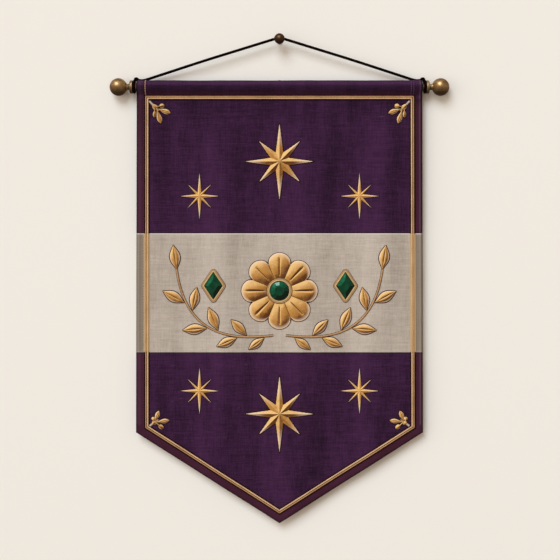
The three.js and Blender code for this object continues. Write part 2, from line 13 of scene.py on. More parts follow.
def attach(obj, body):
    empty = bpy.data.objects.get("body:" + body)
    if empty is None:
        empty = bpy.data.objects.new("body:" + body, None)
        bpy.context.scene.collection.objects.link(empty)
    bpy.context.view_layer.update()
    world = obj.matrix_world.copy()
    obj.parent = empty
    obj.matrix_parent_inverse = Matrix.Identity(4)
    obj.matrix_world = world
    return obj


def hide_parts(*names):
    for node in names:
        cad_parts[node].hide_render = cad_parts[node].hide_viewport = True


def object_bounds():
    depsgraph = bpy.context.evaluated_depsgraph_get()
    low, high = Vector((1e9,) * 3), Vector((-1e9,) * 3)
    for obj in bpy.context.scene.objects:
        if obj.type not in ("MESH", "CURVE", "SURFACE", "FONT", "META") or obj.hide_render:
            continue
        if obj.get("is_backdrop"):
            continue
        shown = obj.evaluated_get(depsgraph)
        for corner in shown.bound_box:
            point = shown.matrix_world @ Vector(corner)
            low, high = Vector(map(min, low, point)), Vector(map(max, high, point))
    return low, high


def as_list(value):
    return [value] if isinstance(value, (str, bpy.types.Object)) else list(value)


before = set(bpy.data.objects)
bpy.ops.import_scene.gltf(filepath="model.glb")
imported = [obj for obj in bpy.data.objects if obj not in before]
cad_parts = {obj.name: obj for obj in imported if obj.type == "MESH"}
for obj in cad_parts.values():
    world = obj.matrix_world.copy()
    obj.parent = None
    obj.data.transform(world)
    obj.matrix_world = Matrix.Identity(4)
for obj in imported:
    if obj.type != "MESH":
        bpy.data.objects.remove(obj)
cad_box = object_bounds()

log = logging.getLogger("pennant")

MM = 0.001
BODY = "root"

Object = bpy.types.Object
Material = bpy.types.Material
Socket = bpy.types.NodeSocket
Colour = tuple[float, float, float, float]
Place = tuple[float, float]
Spot = tuple[float, float, float]

# The cloth as it is cut and hung; lengths are in millimetres throughout
ROD_DEPTH = 14.5
ROD_LEVEL = -74.5
LAYER = 1.2
CLOTH_HALF_WIDTH = 225.0
CLOTH_FLARE = 1.2
UPPER_SEAM = -305.0
LOWER_SEAM = -493.0
SEAM_GAP = 0.3
SIDE_CORNER = -619.0
POINT = -762.0
HEM_WIDTH = 12.6
HEM_THICKNESS = 2.2
V_SLOPE = (SIDE_CORNER - POINT) / (CLOTH_HALF_WIDTH + CLOTH_FLARE)
V_STRETCH = math.hypot(1, V_SLOPE)
FOLD_START = -94.0
FOLD_GROWTH = 90.0
PUCKER_LIMIT = 40.0

# Edges sharper than these, in degrees, stay sharp where the rest is shaded smooth
STAR_CREASE = 8.0
TURNED_CREASE = 32.0
SATIN_CREASE = 35.0
THREAD_CREASE = 40.0
ROPE_CREASE = 50.0
CORD_CREASE = 60.0

FRONT = Vector((0, -1, 0))
SIDES = (("left", -1), ("right", 1))


def smooth_step(value: float, low: float, high: float) -> float:
    """Eases from 0 at low to 1 at high."""
    part = min(max((value - low) / (high - low), 0.0), 1.0)
    return part * part * (3 - 2 * part)


def lerp(start: float, end: float, part: float) -> float:
    """Goes from start to end as part goes from 0 to 1."""
    return start + (end - start) * part


def dyed(red: int, green: int, blue: int) -> Colour:
    """Turns a colour that is given as on a screen, 0 to 255, into linear light."""
    return (*((channel / 255) ** 2.2 for channel in (red, green, blue)), 1.0)


@dataclass(frozen=True)
class Band:
    """A soft-edged band: the place of its middle, its half width and its strength."""

    middle: float
    half_width: float
    strength: float = 1.0

    def at(self, place: float) -> float:
        """The band's strength at a place."""
        return self.strength * math.exp(-(((place - self.middle) / self.half_width) ** 2))


@dataclass(frozen=True)
class Fold:
    """A soft fold that runs down the whole cloth."""

    at_heading: float
    at_point: float
    half_width: float
    rise: float


@dataclass(frozen=True)
class Crease:
    """A short slept-in line in the cloth, leaning by some degrees from upright."""

    x: float
    z: float
    lean: float
    length: float
    width: float
    height: float

    def lift(self, x: float, z: float) -> float:
        """Gives how far the crease lifts the cloth at a place.

        Args:
            x: place across the cloth.
            z: level on the cloth.

        Returns:
            The rise towards the viewer.
        """
        turn = math.radians(self.lean)
        along = (x - self.x) * math.sin(turn) + (z - self.z) * math.cos(turn)
        across = (x - self.x) * math.cos(turn) - (z - self.z) * math.sin(turn)
        if abs(along) > self.length / 2 or abs(across) > 3 * self.width:
            return 0.0
        fade = math.cos(math.pi * along / self.length) ** 2
        return fade * Band(0.0, self.width, self.height).at(across)


FOLDS = (
    Fold(-214, -190, 25, 0.9),
    Fold(-86, -88, 31, 1.7),
    Fold(58, 20, 38, 2.2),
    Fold(176, 142, 32, 1.9),
)

CREASES = (
    Crease(-217, -613, 58, 26, 1.3, 0.6),
    Crease(217, -613, -58, 26, 1.3, 0.6),
    Crease(0, -752, 0, 18, 1.5, 0.6),
    Crease(-70, -640, -24, 46, 3.4, 0.7),
    Crease(-82, -540, 4, 90, 5.0, -0.7),
    Crease(96, -668, 30, 60, 4.0, 0.7),
    Crease(-168, -566, 40, 80, 5.0, -0.9),
    Crease(172, -574, -36, 76, 5.0, -0.9),
    Crease(150, -640, -28, 50, 3.5, 0.6),
    Crease(-120, -690, 34, 44, 3.5, 0.5),
    Crease(206, -232, 8, 110, 4.0, 0.8),
    Crease(190, -300, -20, 60, 5.0, -0.6),
    Crease(-196, -160, -6, 80, 4.5, 0.6),
    Crease(-160, -282, 16, 50, 4.5, 0.5),
    Crease(62, -140, -10, 60, 5.5, -0.6),
    Crease(-66, -266, 8, 70, 5.0, -0.5),
    Crease(-196, -412, 10, 90, 4.5, -0.7),
    Crease(192, -392, -6, 100, 4.5, 0.7),
    Crease(128, -330, 14, 44, 4.0, 0.5),
    Crease(-130, -352, -12, 52, 4.0, 0.5),
)


@dataclass(frozen=True)
class HangingCloth:
    """The front of the hanging cloth, which every sewn piece lies on."""

    hem_ridge: Band = Band(5.6, 2.4, 0.55)
    edge_roll: float = 0.9
    edge_roll_reach: float = 0.8
    seam_roll: float = 0.7
    seam_roll_reach: float = 0.9
    pucker_pitch: float = 8.5
    pucker_rise: float = 0.22
    pucker_reach: float = 5.5
    sway: float = 0.28
    unevenness: float = 0.1

    @staticmethod
    def half_width(z: float) -> float:
        """Half the width of the cloth at a level."""
        return CLOTH_HALF_WIDTH + CLOTH_FLARE * z / SIDE_CORNER

    @staticmethod
    def lower_edge(x: float, inset: float = 0.0) -> float:
        """Level of the point's edge, or of a line that far inside it."""
        return POINT + V_SLOPE * abs(x) + inset * V_STRETCH

    def inset(self, x: float, z: float) -> float:
        """Distance from a place to the nearest side or point edge."""
        side = self.half_width(z) - abs(x)
        foot = (z - self.lower_edge(x)) / V_STRETCH
        return min(side, foot)

    @staticmethod
    def fold_rise(x: float, z: float) -> float:
        """How far the long folds bring the cloth forward.

        Args:
            x: place across the cloth.
            z: level on the cloth.

        Returns:
            The rise towards the viewer.
        """
        below = max(FOLD_START - z, 0.0)
        down = below / (FOLD_START - POINT)
        rise = 0.0
        for fold in FOLDS:
            crest = lerp(fold.at_heading, fold.at_point, down)
            rise += Band(crest, fold.half_width, fold.rise).at(x)
        return rise * smooth_step(below, 0.0, FOLD_GROWTH)

    def small_rise(self, x: float, z: float) -> float:
        """Adds up the creases, the puckers at the seams and a slight unevenness.

        Args:
            x: place across the cloth.
            z: level on the cloth.

        Returns:
            The rise towards the viewer.
        """
        below = smooth_step(FOLD_START - z, 0.0, 12.0)
        rise = sum(crease.lift(x, z) for crease in CREASES)
        rise += self.sway * noise.noise(Vector((x / 26, z / 60, 0.3)))
        rise += self.unevenness * noise.noise(Vector((x / 9, z / 13, 4.1)))
        for seam in (UPPER_SEAM, LOWER_SEAM):
            away = abs(z - seam)
            if away < PUCKER_LIMIT:
                wander = 3 * noise.noise(Vector((x / 40, 0, 0)))
                wave = math.sin(2 * math.pi * x / self.pucker_pitch + wander)
                rise += self.pucker_rise * wave * math.exp(-away / self.pucker_reach)
                rise -= self.seam_roll * math.exp(-away / self.seam_roll_reach)
        return rise * below

    def hem_rise(self, x: float, z: float) -> float:
        """The ridge of the turned hem, and the roll at its outer edge.

        Args:
            x: place across the cloth.
            z: level on the cloth.

        Returns:
            The rise towards the viewer.
        """
        inset = self.inset(x, z)
        if inset > HEM_WIDTH:
            return 0.0
        waviness = 0.75 + 0.5 * noise.noise(Vector((x / 30, z / 22, 7.7)))
        roll = self.edge_roll * math.exp(-max(inset, 0.0) / self.edge_roll_reach)
        return self.hem_ridge.at(inset) * waviness - roll

    def front(self, x: float, z: float) -> float:
        """Depth of the cloth's front at a place."""
        rise = self.fold_rise(x, z) + self.small_rise(x, z) + self.hem_rise(x, z)
        return -ROD_DEPTH - LAYER - rise


CLOTH = HangingCloth()


class Signal:
    """A number that varies over a surface; Python's operators add its Math nodes."""

    def __init__(self, shader: "Shader", socket: Socket) -> None:
        """Keeps the shader and the socket that gives the number."""
        self.shader = shader
        self.socket = socket

    def __add__(self, other: "Number") -> "Signal":
        """Adds a number."""
        return self.shader.maths("ADD", self, other)

    def __sub__(self, other: "Number") -> "Signal":
        """Takes a number away."""
        return self.shader.maths("SUBTRACT", self, other)

    def __rsub__(self, other: "Number") -> "Signal":
        """Takes this away from a number."""
        return self.shader.maths("SUBTRACT", other, self)

    def __mul__(self, other: "Number") -> "Signal":
        """Multiplies by a number."""
        return self.shader.maths("MULTIPLY", self, other)

    def __truediv__(self, other: "Number") -> "Signal":
        """Divides by a number."""
        return self.shader.maths("DIVIDE", self, other)

    __radd__ = __add__
    __rmul__ = __mul__

    def sine(self) -> "Signal":
        """The sine of this number."""
        return self.shader.maths("SINE", self)

    def size(self) -> "Signal":
        """This number without its sign."""
        return self.shader.maths("ABSOLUTE", self)

    def between(self, low: float, high: float) -> "Signal":
        """Eases from 0 where this is low to 1 where it is high."""
        node = self.shader.node(
            "ShaderNodeMapRange",
            {"interpolation_type": "SMOOTHSTEP"},
            {"Value": self, "From Min": low, "From Max": high},
        )
        return Signal(self.shader, node.outputs["Result"])


Number = Union[float, Signal]
Input = Union[Signal, Socket, float, Sequence[float]]


class Shader:
    """A material while its nodes are being laid out."""

    def __init__(self, name: str) -> None:
        """Starts an empty material.

        Args:
            name: the material's name.
        """
        self.material = bpy.data.materials.new(name)
        self.material.use_nodes = True
        self.tree = self.material.node_tree
        self.tree.nodes.clear()

    def node(
        self, kind: str, settings: dict[str, object] = {}, sockets: dict[object, Input] = {}
    ) -> bpy.types.Node:
        """Makes one node.

        Args:
            kind: the node's type.
            settings: what is set on the node itself, before its sockets.
            sockets: values or links for its inputs, by name or place.

        Returns:
            The node.
        """
        made = self.tree.nodes.new(kind)
        for setting, value in settings.items():
            setattr(made, setting, value)
        for key, value in sockets.items():
            source = value.socket if isinstance(value, Signal) else value
            if isinstance(source, Socket):
                self.tree.links.new(source, made.inputs[key])
            else:
                made.inputs[key].default_value = source
        return made

    def maths(self, operation: str, *numbers: Number) -> Signal:
        """Joins numbers in one Math node."""
        made = self.node("ShaderNodeMath", {"operation": operation}, dict(enumerate(numbers)))
        return Signal(self, made.outputs["Value"])

    def cut_place(self) -> Socket:
        """The place on the piece as it was cut, in metres."""
        return self.node("ShaderNodeUVMap", {"uv_map": "UVMap"}).outputs["UV"]

    def room_place(self) -> Socket:
        """The place in the piece's own space, in metres."""
        return self.node("ShaderNodeTexCoord").outputs["Object"]

    def painted(self, attribute: str) -> Signal:
        """A number that is stored on the mesh."""
        made = self.node("ShaderNodeAttribute", {"attribute_name": attribute})
        return Signal(self, made.outputs["Fac"])

    def clouds(
        self, place: Socket, scale: Spot, detail: float = 2.0, rough: float = 0.5, turn: float = 0.0
    ) -> Signal:
        """A cloudy number about one half.

        Args:
            place: the place that the pattern reads.
            scale: how many clouds fit in a metre, along each axis.
            detail: how many finer layers it has.
            rough: how strong they are.
            turn: degrees that the pattern is turned about Z.

        Returns:
            The number.
        """
        turned = {"Vector": place, "Scale": scale, "Rotation": (0, 0, math.radians(turn))}
        place = self.node("ShaderNodeMapping", {}, turned).outputs["Vector"]
        cloudy = {"Vector": place, "Scale": 1.0, "Detail": detail, "Roughness": rough}
        return Signal(self, self.node("ShaderNodeTexNoise", {}, cloudy).outputs["Fac"])

    def axes(self, place: Socket) -> tuple[Signal, Signal, Signal]:
        """The three parts of a place."""
        made = self.node("ShaderNodeSeparateXYZ", {}, {"Vector": place})
        return tuple(Signal(self, made.outputs[axis]) for axis in ("X", "Y", "Z"))

    def mix(self, part: Signal, start: Input, end: Input) -> Socket:
        """Mixes two colours.

        Args:
            part: 0 for the first colour and 1 for the second.
            start: the first colour.
            end: the second colour.

        Returns:
            The mixed colour.
        """
        made = self.node("ShaderNodeMix", {"data_type": "RGBA"}, {0: part, 6: start, 7: end})
        return made.outputs[2]

    def raised(self, height: Signal, depth: float, strength: float = 1.0) -> Socket:
        """A bumpy normal.

        Args:
            height: the relief, from 0 to 1.
            depth: how deep the relief is, in millimetres.
            strength: the share of it that is used.

        Returns:
            The normal.
        """
        bump = {"Height": height, "Distance": depth * MM, "Strength": strength}
        return self.node("ShaderNodeBump", {}, bump).outputs["Normal"]

    def finished(
        self,
        colour: Input,
        roughness: Input,
        normal: Union[Socket, None] = None,
        constants: dict[str, object] = {},
    ) -> Material:
        """Closes the material with its surface.

        Args:
            colour: base colour.
            roughness: roughness.
            normal: bumpy normal, or nothing where the surface is smooth.
            constants: what is the same all over, by socket name.

        Returns:
            The material.
        """
        sockets = {"Base Color": colour, "Roughness": roughness, **constants}
        if normal is not None:
            sockets["Normal"] = normal
        surface = self.node("ShaderNodeBsdfPrincipled", {}, sockets)
        self.node("ShaderNodeOutputMaterial", {}, {"Surface": surface.outputs["BSDF"]})
        return self.material


@dataclass(frozen=True)
class Linen:
    """Plain woven linen with slubs, soft staining and darker hems, and painted light, shade and highlights
    that the mesh stores.
    """

    name: str
    thread: Colour
    shade: Colour
    lit_and_marked: Colour
    fleck: Colour
    hem: Colour
    edge: Colour
    streaks: float
    hemming: float
    weave_pitch: float = 0.95

    def material(self) -> Material:
        """Lays out the linen's nodes.

        Returns:
            The material.
        """
        shader = Shader(self.name)
        cut = shader.cut_place()
        weft = shader.clouds(cut, (48, 430, 1), 3, 0.7)
        warp = shader.clouds(cut, (430, 42, 1), 3, 0.7)
        bands = shader.clouds(cut, (9, 240, 1), 2, 0.6)
        columns = shader.clouds(cut, (42, 5, 1), 2, 0.5)
        cloud = shader.clouds(cut, (34, 26, 1), 5, 0.66)
        grain = shader.clouds(cut, (620, 620, 1), 3, 0.7)

        threads = weft * 0.5 + warp * 0.5
        tone = (threads - 0.5) * self.streaks + (bands - 0.5) * 0.3 + (columns - 0.5) * 0.42
        tone = tone + (cloud - 0.5) * 0.35 + (grain - 0.5) * 0.5
        # This stored number is painted light and shade: fold slopes lit on one side and shaded on the other,
        # the pocket's top lit, shade below the rod, and lighter cloth near the pale band.
        tone = tone + (shader.painted("painted_light") - 0.5) * 0.36 + 0.5
        colour = shader.mix(tone.between(0.05, 0.95), self.shade, self.thread)

        hairs = shader.clouds(cut, (60, 1100, 1), 1, 0.4, 3).between(0.7, 0.78)
        upright_hairs = shader.clouds(cut, (1200, 70, 1), 1, 0.4, -4).between(0.71, 0.79)
        dust = shader.clouds(cut, (55, 55, 1), 3, 0.6).between(0.52, 0.7)
        colour = shader.mix((hairs + upright_hairs) * dust * 0.45, colour, self.lit_and_marked)
        specks = shader.clouds(cut, (300, 520, 1), 1, 0.5).between(0.7, 0.76)
        colour = shader.mix(specks * 0.5, colour, self.fleck)
        colour = shader.mix(shader.painted("hem") * self.hemming, colour, self.hem)
        # The ridge number paints a highlight on the hem ridges and the rolled seams, in the same pale colour
        # as the lint.
        colour = shader.mix(shader.painted("ridge"), colour, self.lit_and_marked)
        # The edge number darkens the cloth: painted shade at the top of the hems and on the pocket's lower
        # front, and darker lines along the edges, seams and a tack row.
        colour = shader.mix(shader.painted("edge"), colour, self.edge)

        across, along, _ = shader.axes(cut)
        turn = math.pi / (self.weave_pitch * MM)
        wander = (grain - 0.5) * 1.2
        weave = (across * turn + wander).sine().size() + (along * turn + wander).sine().size()
        relief = weave * 0.3 + threads * 0.8 + grain * 0.4
        return shader.finished(
            colour,
            0.9 - tone * 0.08,
            shader.raised(relief, 0.5, 0.85),
            {"Sheen Weight": 0.04, "Sheen Roughness": 0.5, "Specular IOR Level": 0.15},
        )


@dataclass(frozen=True)
class Satin:
    """Gold satin laid in threads, with painted light on one half of a shape and painted shade on the other.
    """

    name: str
    light: Colour
    middle: Colour
    dark: Colour
    tip: Colour
    thread_pitch: float = 0.8

    def material(self) -> Material:
        """Lays out the satin's nodes.

        Returns:
            The material.
        """
        shader = Shader(self.name)
        cut = shader.cut_place()
        tone = shader.painted("tone")
        rim = shader.painted("rim")
        fray = shader.clouds(cut, (120, 900, 1), 3, 0.6)
        blotch = shader.clouds(shader.room_place(), (110, 110, 110), 3, 0.6)
        # tone holds the painted light and shade of each facet; dark, middle and light are the shaded,
        # half-lit and lit gold.
        lit = tone + (fray - 0.5) * 0.45 + (blotch - 0.5) * 0.5
        lower = shader.mix(lit.between(0.0, 0.5), self.dark, self.middle)
        colour = shader.mix(lit.between(0.45, 1.0), lower, self.light)
        colour = shader.mix(rim * 0.8, colour, self.tip)
        _, along, _ = shader.axes(cut)
        threads = (along * (math.pi / (self.thread_pitch * MM)) + fray * 2.0).sine().size()
        return shader.finished(
            colour,
            0.62 - fray * 0.2,
            shader.raised(threads * 0.6 + fray * 0.5, 0.25, 0.8),
            {"Specular IOR Level": 0.35, "Sheen Weight": 0.1},
        )


@dataclass(frozen=True)
class Thread:
    """Twisted thread or cord, with lighter strands and painted shade in the grooves between them."""

    name: str
    light: Colour
    dark: Colour
    roughness: float
    metallic: float = 0.0
    strand_pitch: float = 1.4
    gloss: float = 0.5
    over_pale: Union[Colour, None] = None

    def material(self) -> Material:
        """Lays out the thread's nodes.

        Returns:
            The material.
        """
        shader = Shader(self.name)
        cut = shader.cut_place()
        round_it, along, _ = shader.axes(cut)
        turn = math.pi / (self.strand_pitch * MM)
        strands = ((along + round_it * 0.6) * turn).sine().size()
        fuzz = shader.clouds(cut, (500, 240, 1), 3, 0.65)
        patch = shader.clouds(cut, (40, 30, 1), 2, 0.5)
        # Lighter strands and darker grooves: painted shade between the strands, over random tone.
        lit = strands * 0.5 + fuzz * 0.5 + (patch - 0.5) * 0.6
        colour = shader.mix(lit.between(0.15, 0.75), self.dark, self.light)
        if self.over_pale:
            _, _, height = shader.axes(shader.room_place())
            away = (height - (UPPER_SEAM + LOWER_SEAM) / 2 * MM).size()
            half = (UPPER_SEAM - LOWER_SEAM) / 2 * MM
            colour = shader.mix(away.between(half, half - 1.5 * MM), colour, self.over_pale)
        return shader.finished(
            colour,
            self.roughness + fuzz * 0.15,
            shader.raised(strands * 0.7 + fuzz * 0.3, 0.25, 0.7),
            {"Metallic": self.metallic, "Specular IOR Level": self.gloss},
        )


@dataclass(frozen=True)
class AgedMetal:
    """Turned brass or bronze, dark where it has tarnished and bright where hands have rubbed it, with a
    painted highlight on its ridges and painted shade on its lower side.
    """

    name: str
    bright: Colour
    tarnish: Colour
    deep: Colour
    polished: Colour
    level: float
    reach: float

    def material(self) -> Material:
        """Lays out the metal's nodes, with painted shade darkest on the lower side.

        Returns:
            The material.
        """
        shader = Shader(self.name)
        place = shader.room_place()
        cloud = shader.clouds(place, (140, 140, 140), 5, 0.62)
        pits = shader.clouds(place, (900, 900, 900), 2, 0.6)
        turning = shader.clouds(place, (2600, 60, 60), 1, 0.5)
        rubbed = (cloud * 0.8 + turning * 0.2).between(0.36, 0.7)
        colour = shader.mix(rubbed, self.tarnish, self.bright)
        _, _, height = shader.axes(place)
        # Painted shade on the lower side, from level downwards over reach.
        shade_under = (self.level * MM - height) / (self.reach * MM) + (cloud - 0.5) * 0.5
        # The stored number paints a highlight on the ridges and darkens the grooves.
        light_and_marks = shader.painted("light_and_marks")
        colour = shader.mix(light_and_marks.between(0.5, 1.0) * (cloud * 0.6 + 0.6), colour, self.polished)
        colour = shader.mix(shade_under.between(-0.25, 1.0) * 0.9, colour, self.deep)
        colour = shader.mix(light_and_marks.between(0.5, 0.0) * 0.9, colour, self.deep)
        colour = shader.mix(pits.between(0.6, 0.74) * 0.5, colour, self.deep)
        relief = turning * 0.3 + pits * 0.4 + cloud * 0.2
        return shader.finished(
            colour,
            0.4 - rubbed * 0.04 + pits * 0.08,
            shader.raised(relief, 0.08, 0.5),
            {"Metallic": 0.85, "Specular IOR Level": 0.6, "Coat Weight": 0.6, "Coat Roughness": 0.4},
        )


@dataclass(frozen=True)
class DowelWood:
    """Stained dowel with its grain along the rod."""

    name: str
    early: Colour
    late: Colour

    def material(self) -> Material:
        """Lays out the wood's nodes.

        Returns:
            The material.
        """
        shader = Shader(self.name)
        place = shader.room_place()
        grain = shader.clouds(place, (14, 420, 420), 4, 0.6)
        pores = shader.clouds(place, (90, 1500, 1500), 2, 0.6)
        colour = shader.mix(grain.between(0.35, 0.65), self.early, self.late)
        colour = shader.mix(pores.between(0.58, 0.7) * 0.6, colour, self.late)
        return shader.finished(colour, 0.5 + grain * 0.15, shader.raised(grain + pores, 0.15, 0.5))


@dataclass(frozen=True)
class CutStone:
    """Polished green glass stone with cloudy depths, and painted light, shade and glints on its facets."""

    name: str
    deep: Colour
    glow: Colour
    glint: Colour

    def material(self) -> Material:
        """Lays out the stone's nodes.

        Returns:
            The material.
        """
        shader = Shader(self.name)
        place = shader.room_place()
        cloud = shader.clouds(place, (90, 90, 90), 3, 0.6)
        tone = shader.painted("tone")
        # tone is painted light and shade on each facet: deep is the shaded colour, glow the lit one and glint
        # a painted highlight.
        lit = tone * 0.75 + (cloud - 0.5) * 0.5
        colour = shader.mix(lit.between(0.1, 0.7), self.deep, self.glow)
        colour = shader.mix(lit.between(0.66, 0.95) * 0.7, colour, self.glint)
        scratches = shader.clouds(place, (60, 60, 1400), 1, 0.5, 20)
        return shader.finished(
            colour,
            0.1 + scratches.between(0.6, 0.8) * 0.12,
            shader.raised(scratches, 0.02, 0.3),
            {"Coat Weight": 0.3, "Coat Roughness": 0.05, "IOR": 1.5},
        )


class Finish(Enum):
    """Every finish on the pennant, with the record's slot that it belongs to."""

    PURPLE_LINEN = "purple_cloth"
    PALE_LINEN = "pale_cloth"
    GOLD_SATIN = "gold_cloth"
    GOLD_BRAID = "gold_braid"
    PALE_GOLD = "pale_gold"
    GREEN_STONE = "green_stone"
    AGED_BRASS = "aged_brass"
    DARK_BRONZE = "dark_bronze"
    ROD_WOOD = "rod_wood"
    CORD = "cord"
    OUTLINE = "outline_thread"
    PURPLE_THREAD = "purple_thread"
    PALE_THREAD = "pale_thread"
    BRAID_GROUND = "braid_ground"
    BRIGHT_BRAID = "bright_braid"
    BRAID_EDGE = "braid_edge"


class Wardrobe:
    """Makes each finish once and hands it out."""

    def __init__(self) -> None:
        """Makes all the materials."""
        made = {
            Finish.PURPLE_LINEN: Linen(
                "purple_linen", dyed(77, 43, 79), dyed(35, 17, 36), dyed(134, 110, 130),
                dyed(104, 43, 56), dyed(74, 36, 46), dyed(16, 6, 10), 1.2, 0.65,
            ),
            Finish.PALE_LINEN: Linen(
                "pale_linen", dyed(210, 197, 185), dyed(154, 142, 130), dyed(230, 223, 216),
                dyed(130, 112, 94), dyed(126, 112, 96), dyed(66, 50, 44), 0.9, 0.8,
            ),
            Finish.GOLD_SATIN: Satin(
                "gold_satin", dyed(242, 194, 124), dyed(192, 134, 62), dyed(100, 54, 16), dyed(252, 224, 196)
            ),
            Finish.GOLD_BRAID: Thread("gold_braid", dyed(214, 168, 120), dyed(128, 84, 46), 0.5, 0.15),
            Finish.BRIGHT_BRAID: Thread("bright_braid", dyed(240, 198, 152), dyed(164, 118, 78), 0.5, 0.1),
            Finish.PALE_GOLD: Thread("pale_gold", dyed(238, 208, 150), dyed(164, 120, 66), 0.45, 0.25),
            Finish.GREEN_STONE: CutStone(
                "green_stone", dyed(3, 34, 24), dyed(14, 92, 64), dyed(92, 176, 138)
            ),
            Finish.AGED_BRASS: AgedMetal(
                "aged_brass", dyed(252, 212, 156), dyed(186, 136, 78), dyed(62, 36, 8), dyed(246, 216, 164),
                ROD_LEVEL, 12.0,
            ),
            Finish.DARK_BRONZE: AgedMetal(
                "dark_bronze", dyed(134, 92, 58), dyed(84, 52, 26), dyed(66, 36, 12), dyed(150, 116, 90),
                0.0, 8.0,
            ),
            Finish.ROD_WOOD: DowelWood("rod_wood", dyed(150, 112, 80), dyed(96, 64, 42)),
            Finish.CORD: Thread("black_cord", dyed(30, 15, 6), dyed(8, 3, 1), 0.5, 0.0, 2.4, 0.04),
            Finish.OUTLINE: Thread("outline_thread", dyed(58, 32, 18), dyed(22, 10, 8), 0.75, gloss=0.2),
            # Threads beside the braid: dark painted shadow lines over the purple, pale over the pale band.
            Finish.BRAID_EDGE: Thread(
                "braid_edge", dyed(52, 22, 20), dyed(26, 10, 10), 0.8,
                gloss=0.15, over_pale=dyed(204, 176, 136),
            ),
            Finish.PURPLE_THREAD: Thread("purple_thread", dyed(92, 58, 92), dyed(44, 24, 46), 0.7),
            Finish.PALE_THREAD: Thread("pale_thread", dyed(214, 200, 182), dyed(140, 124, 104), 0.7),
            Finish.BRAID_GROUND: Thread(
                "braid_ground", dyed(84, 46, 28), dyed(36, 16, 12), 0.8,
                gloss=0.15, over_pale=dyed(206, 162, 106),
            ),
        }
        self.materials = {finish: kind.material() for finish, kind in made.items()}

    def dress(self, piece: Object, *finishes: Finish) -> Object:
        """Gives a piece its finishes, in the order of its material places."""
        piece.data.materials.clear()
        for finish in finishes:
            piece.data.materials.append(self.materials[finish])
        return piece


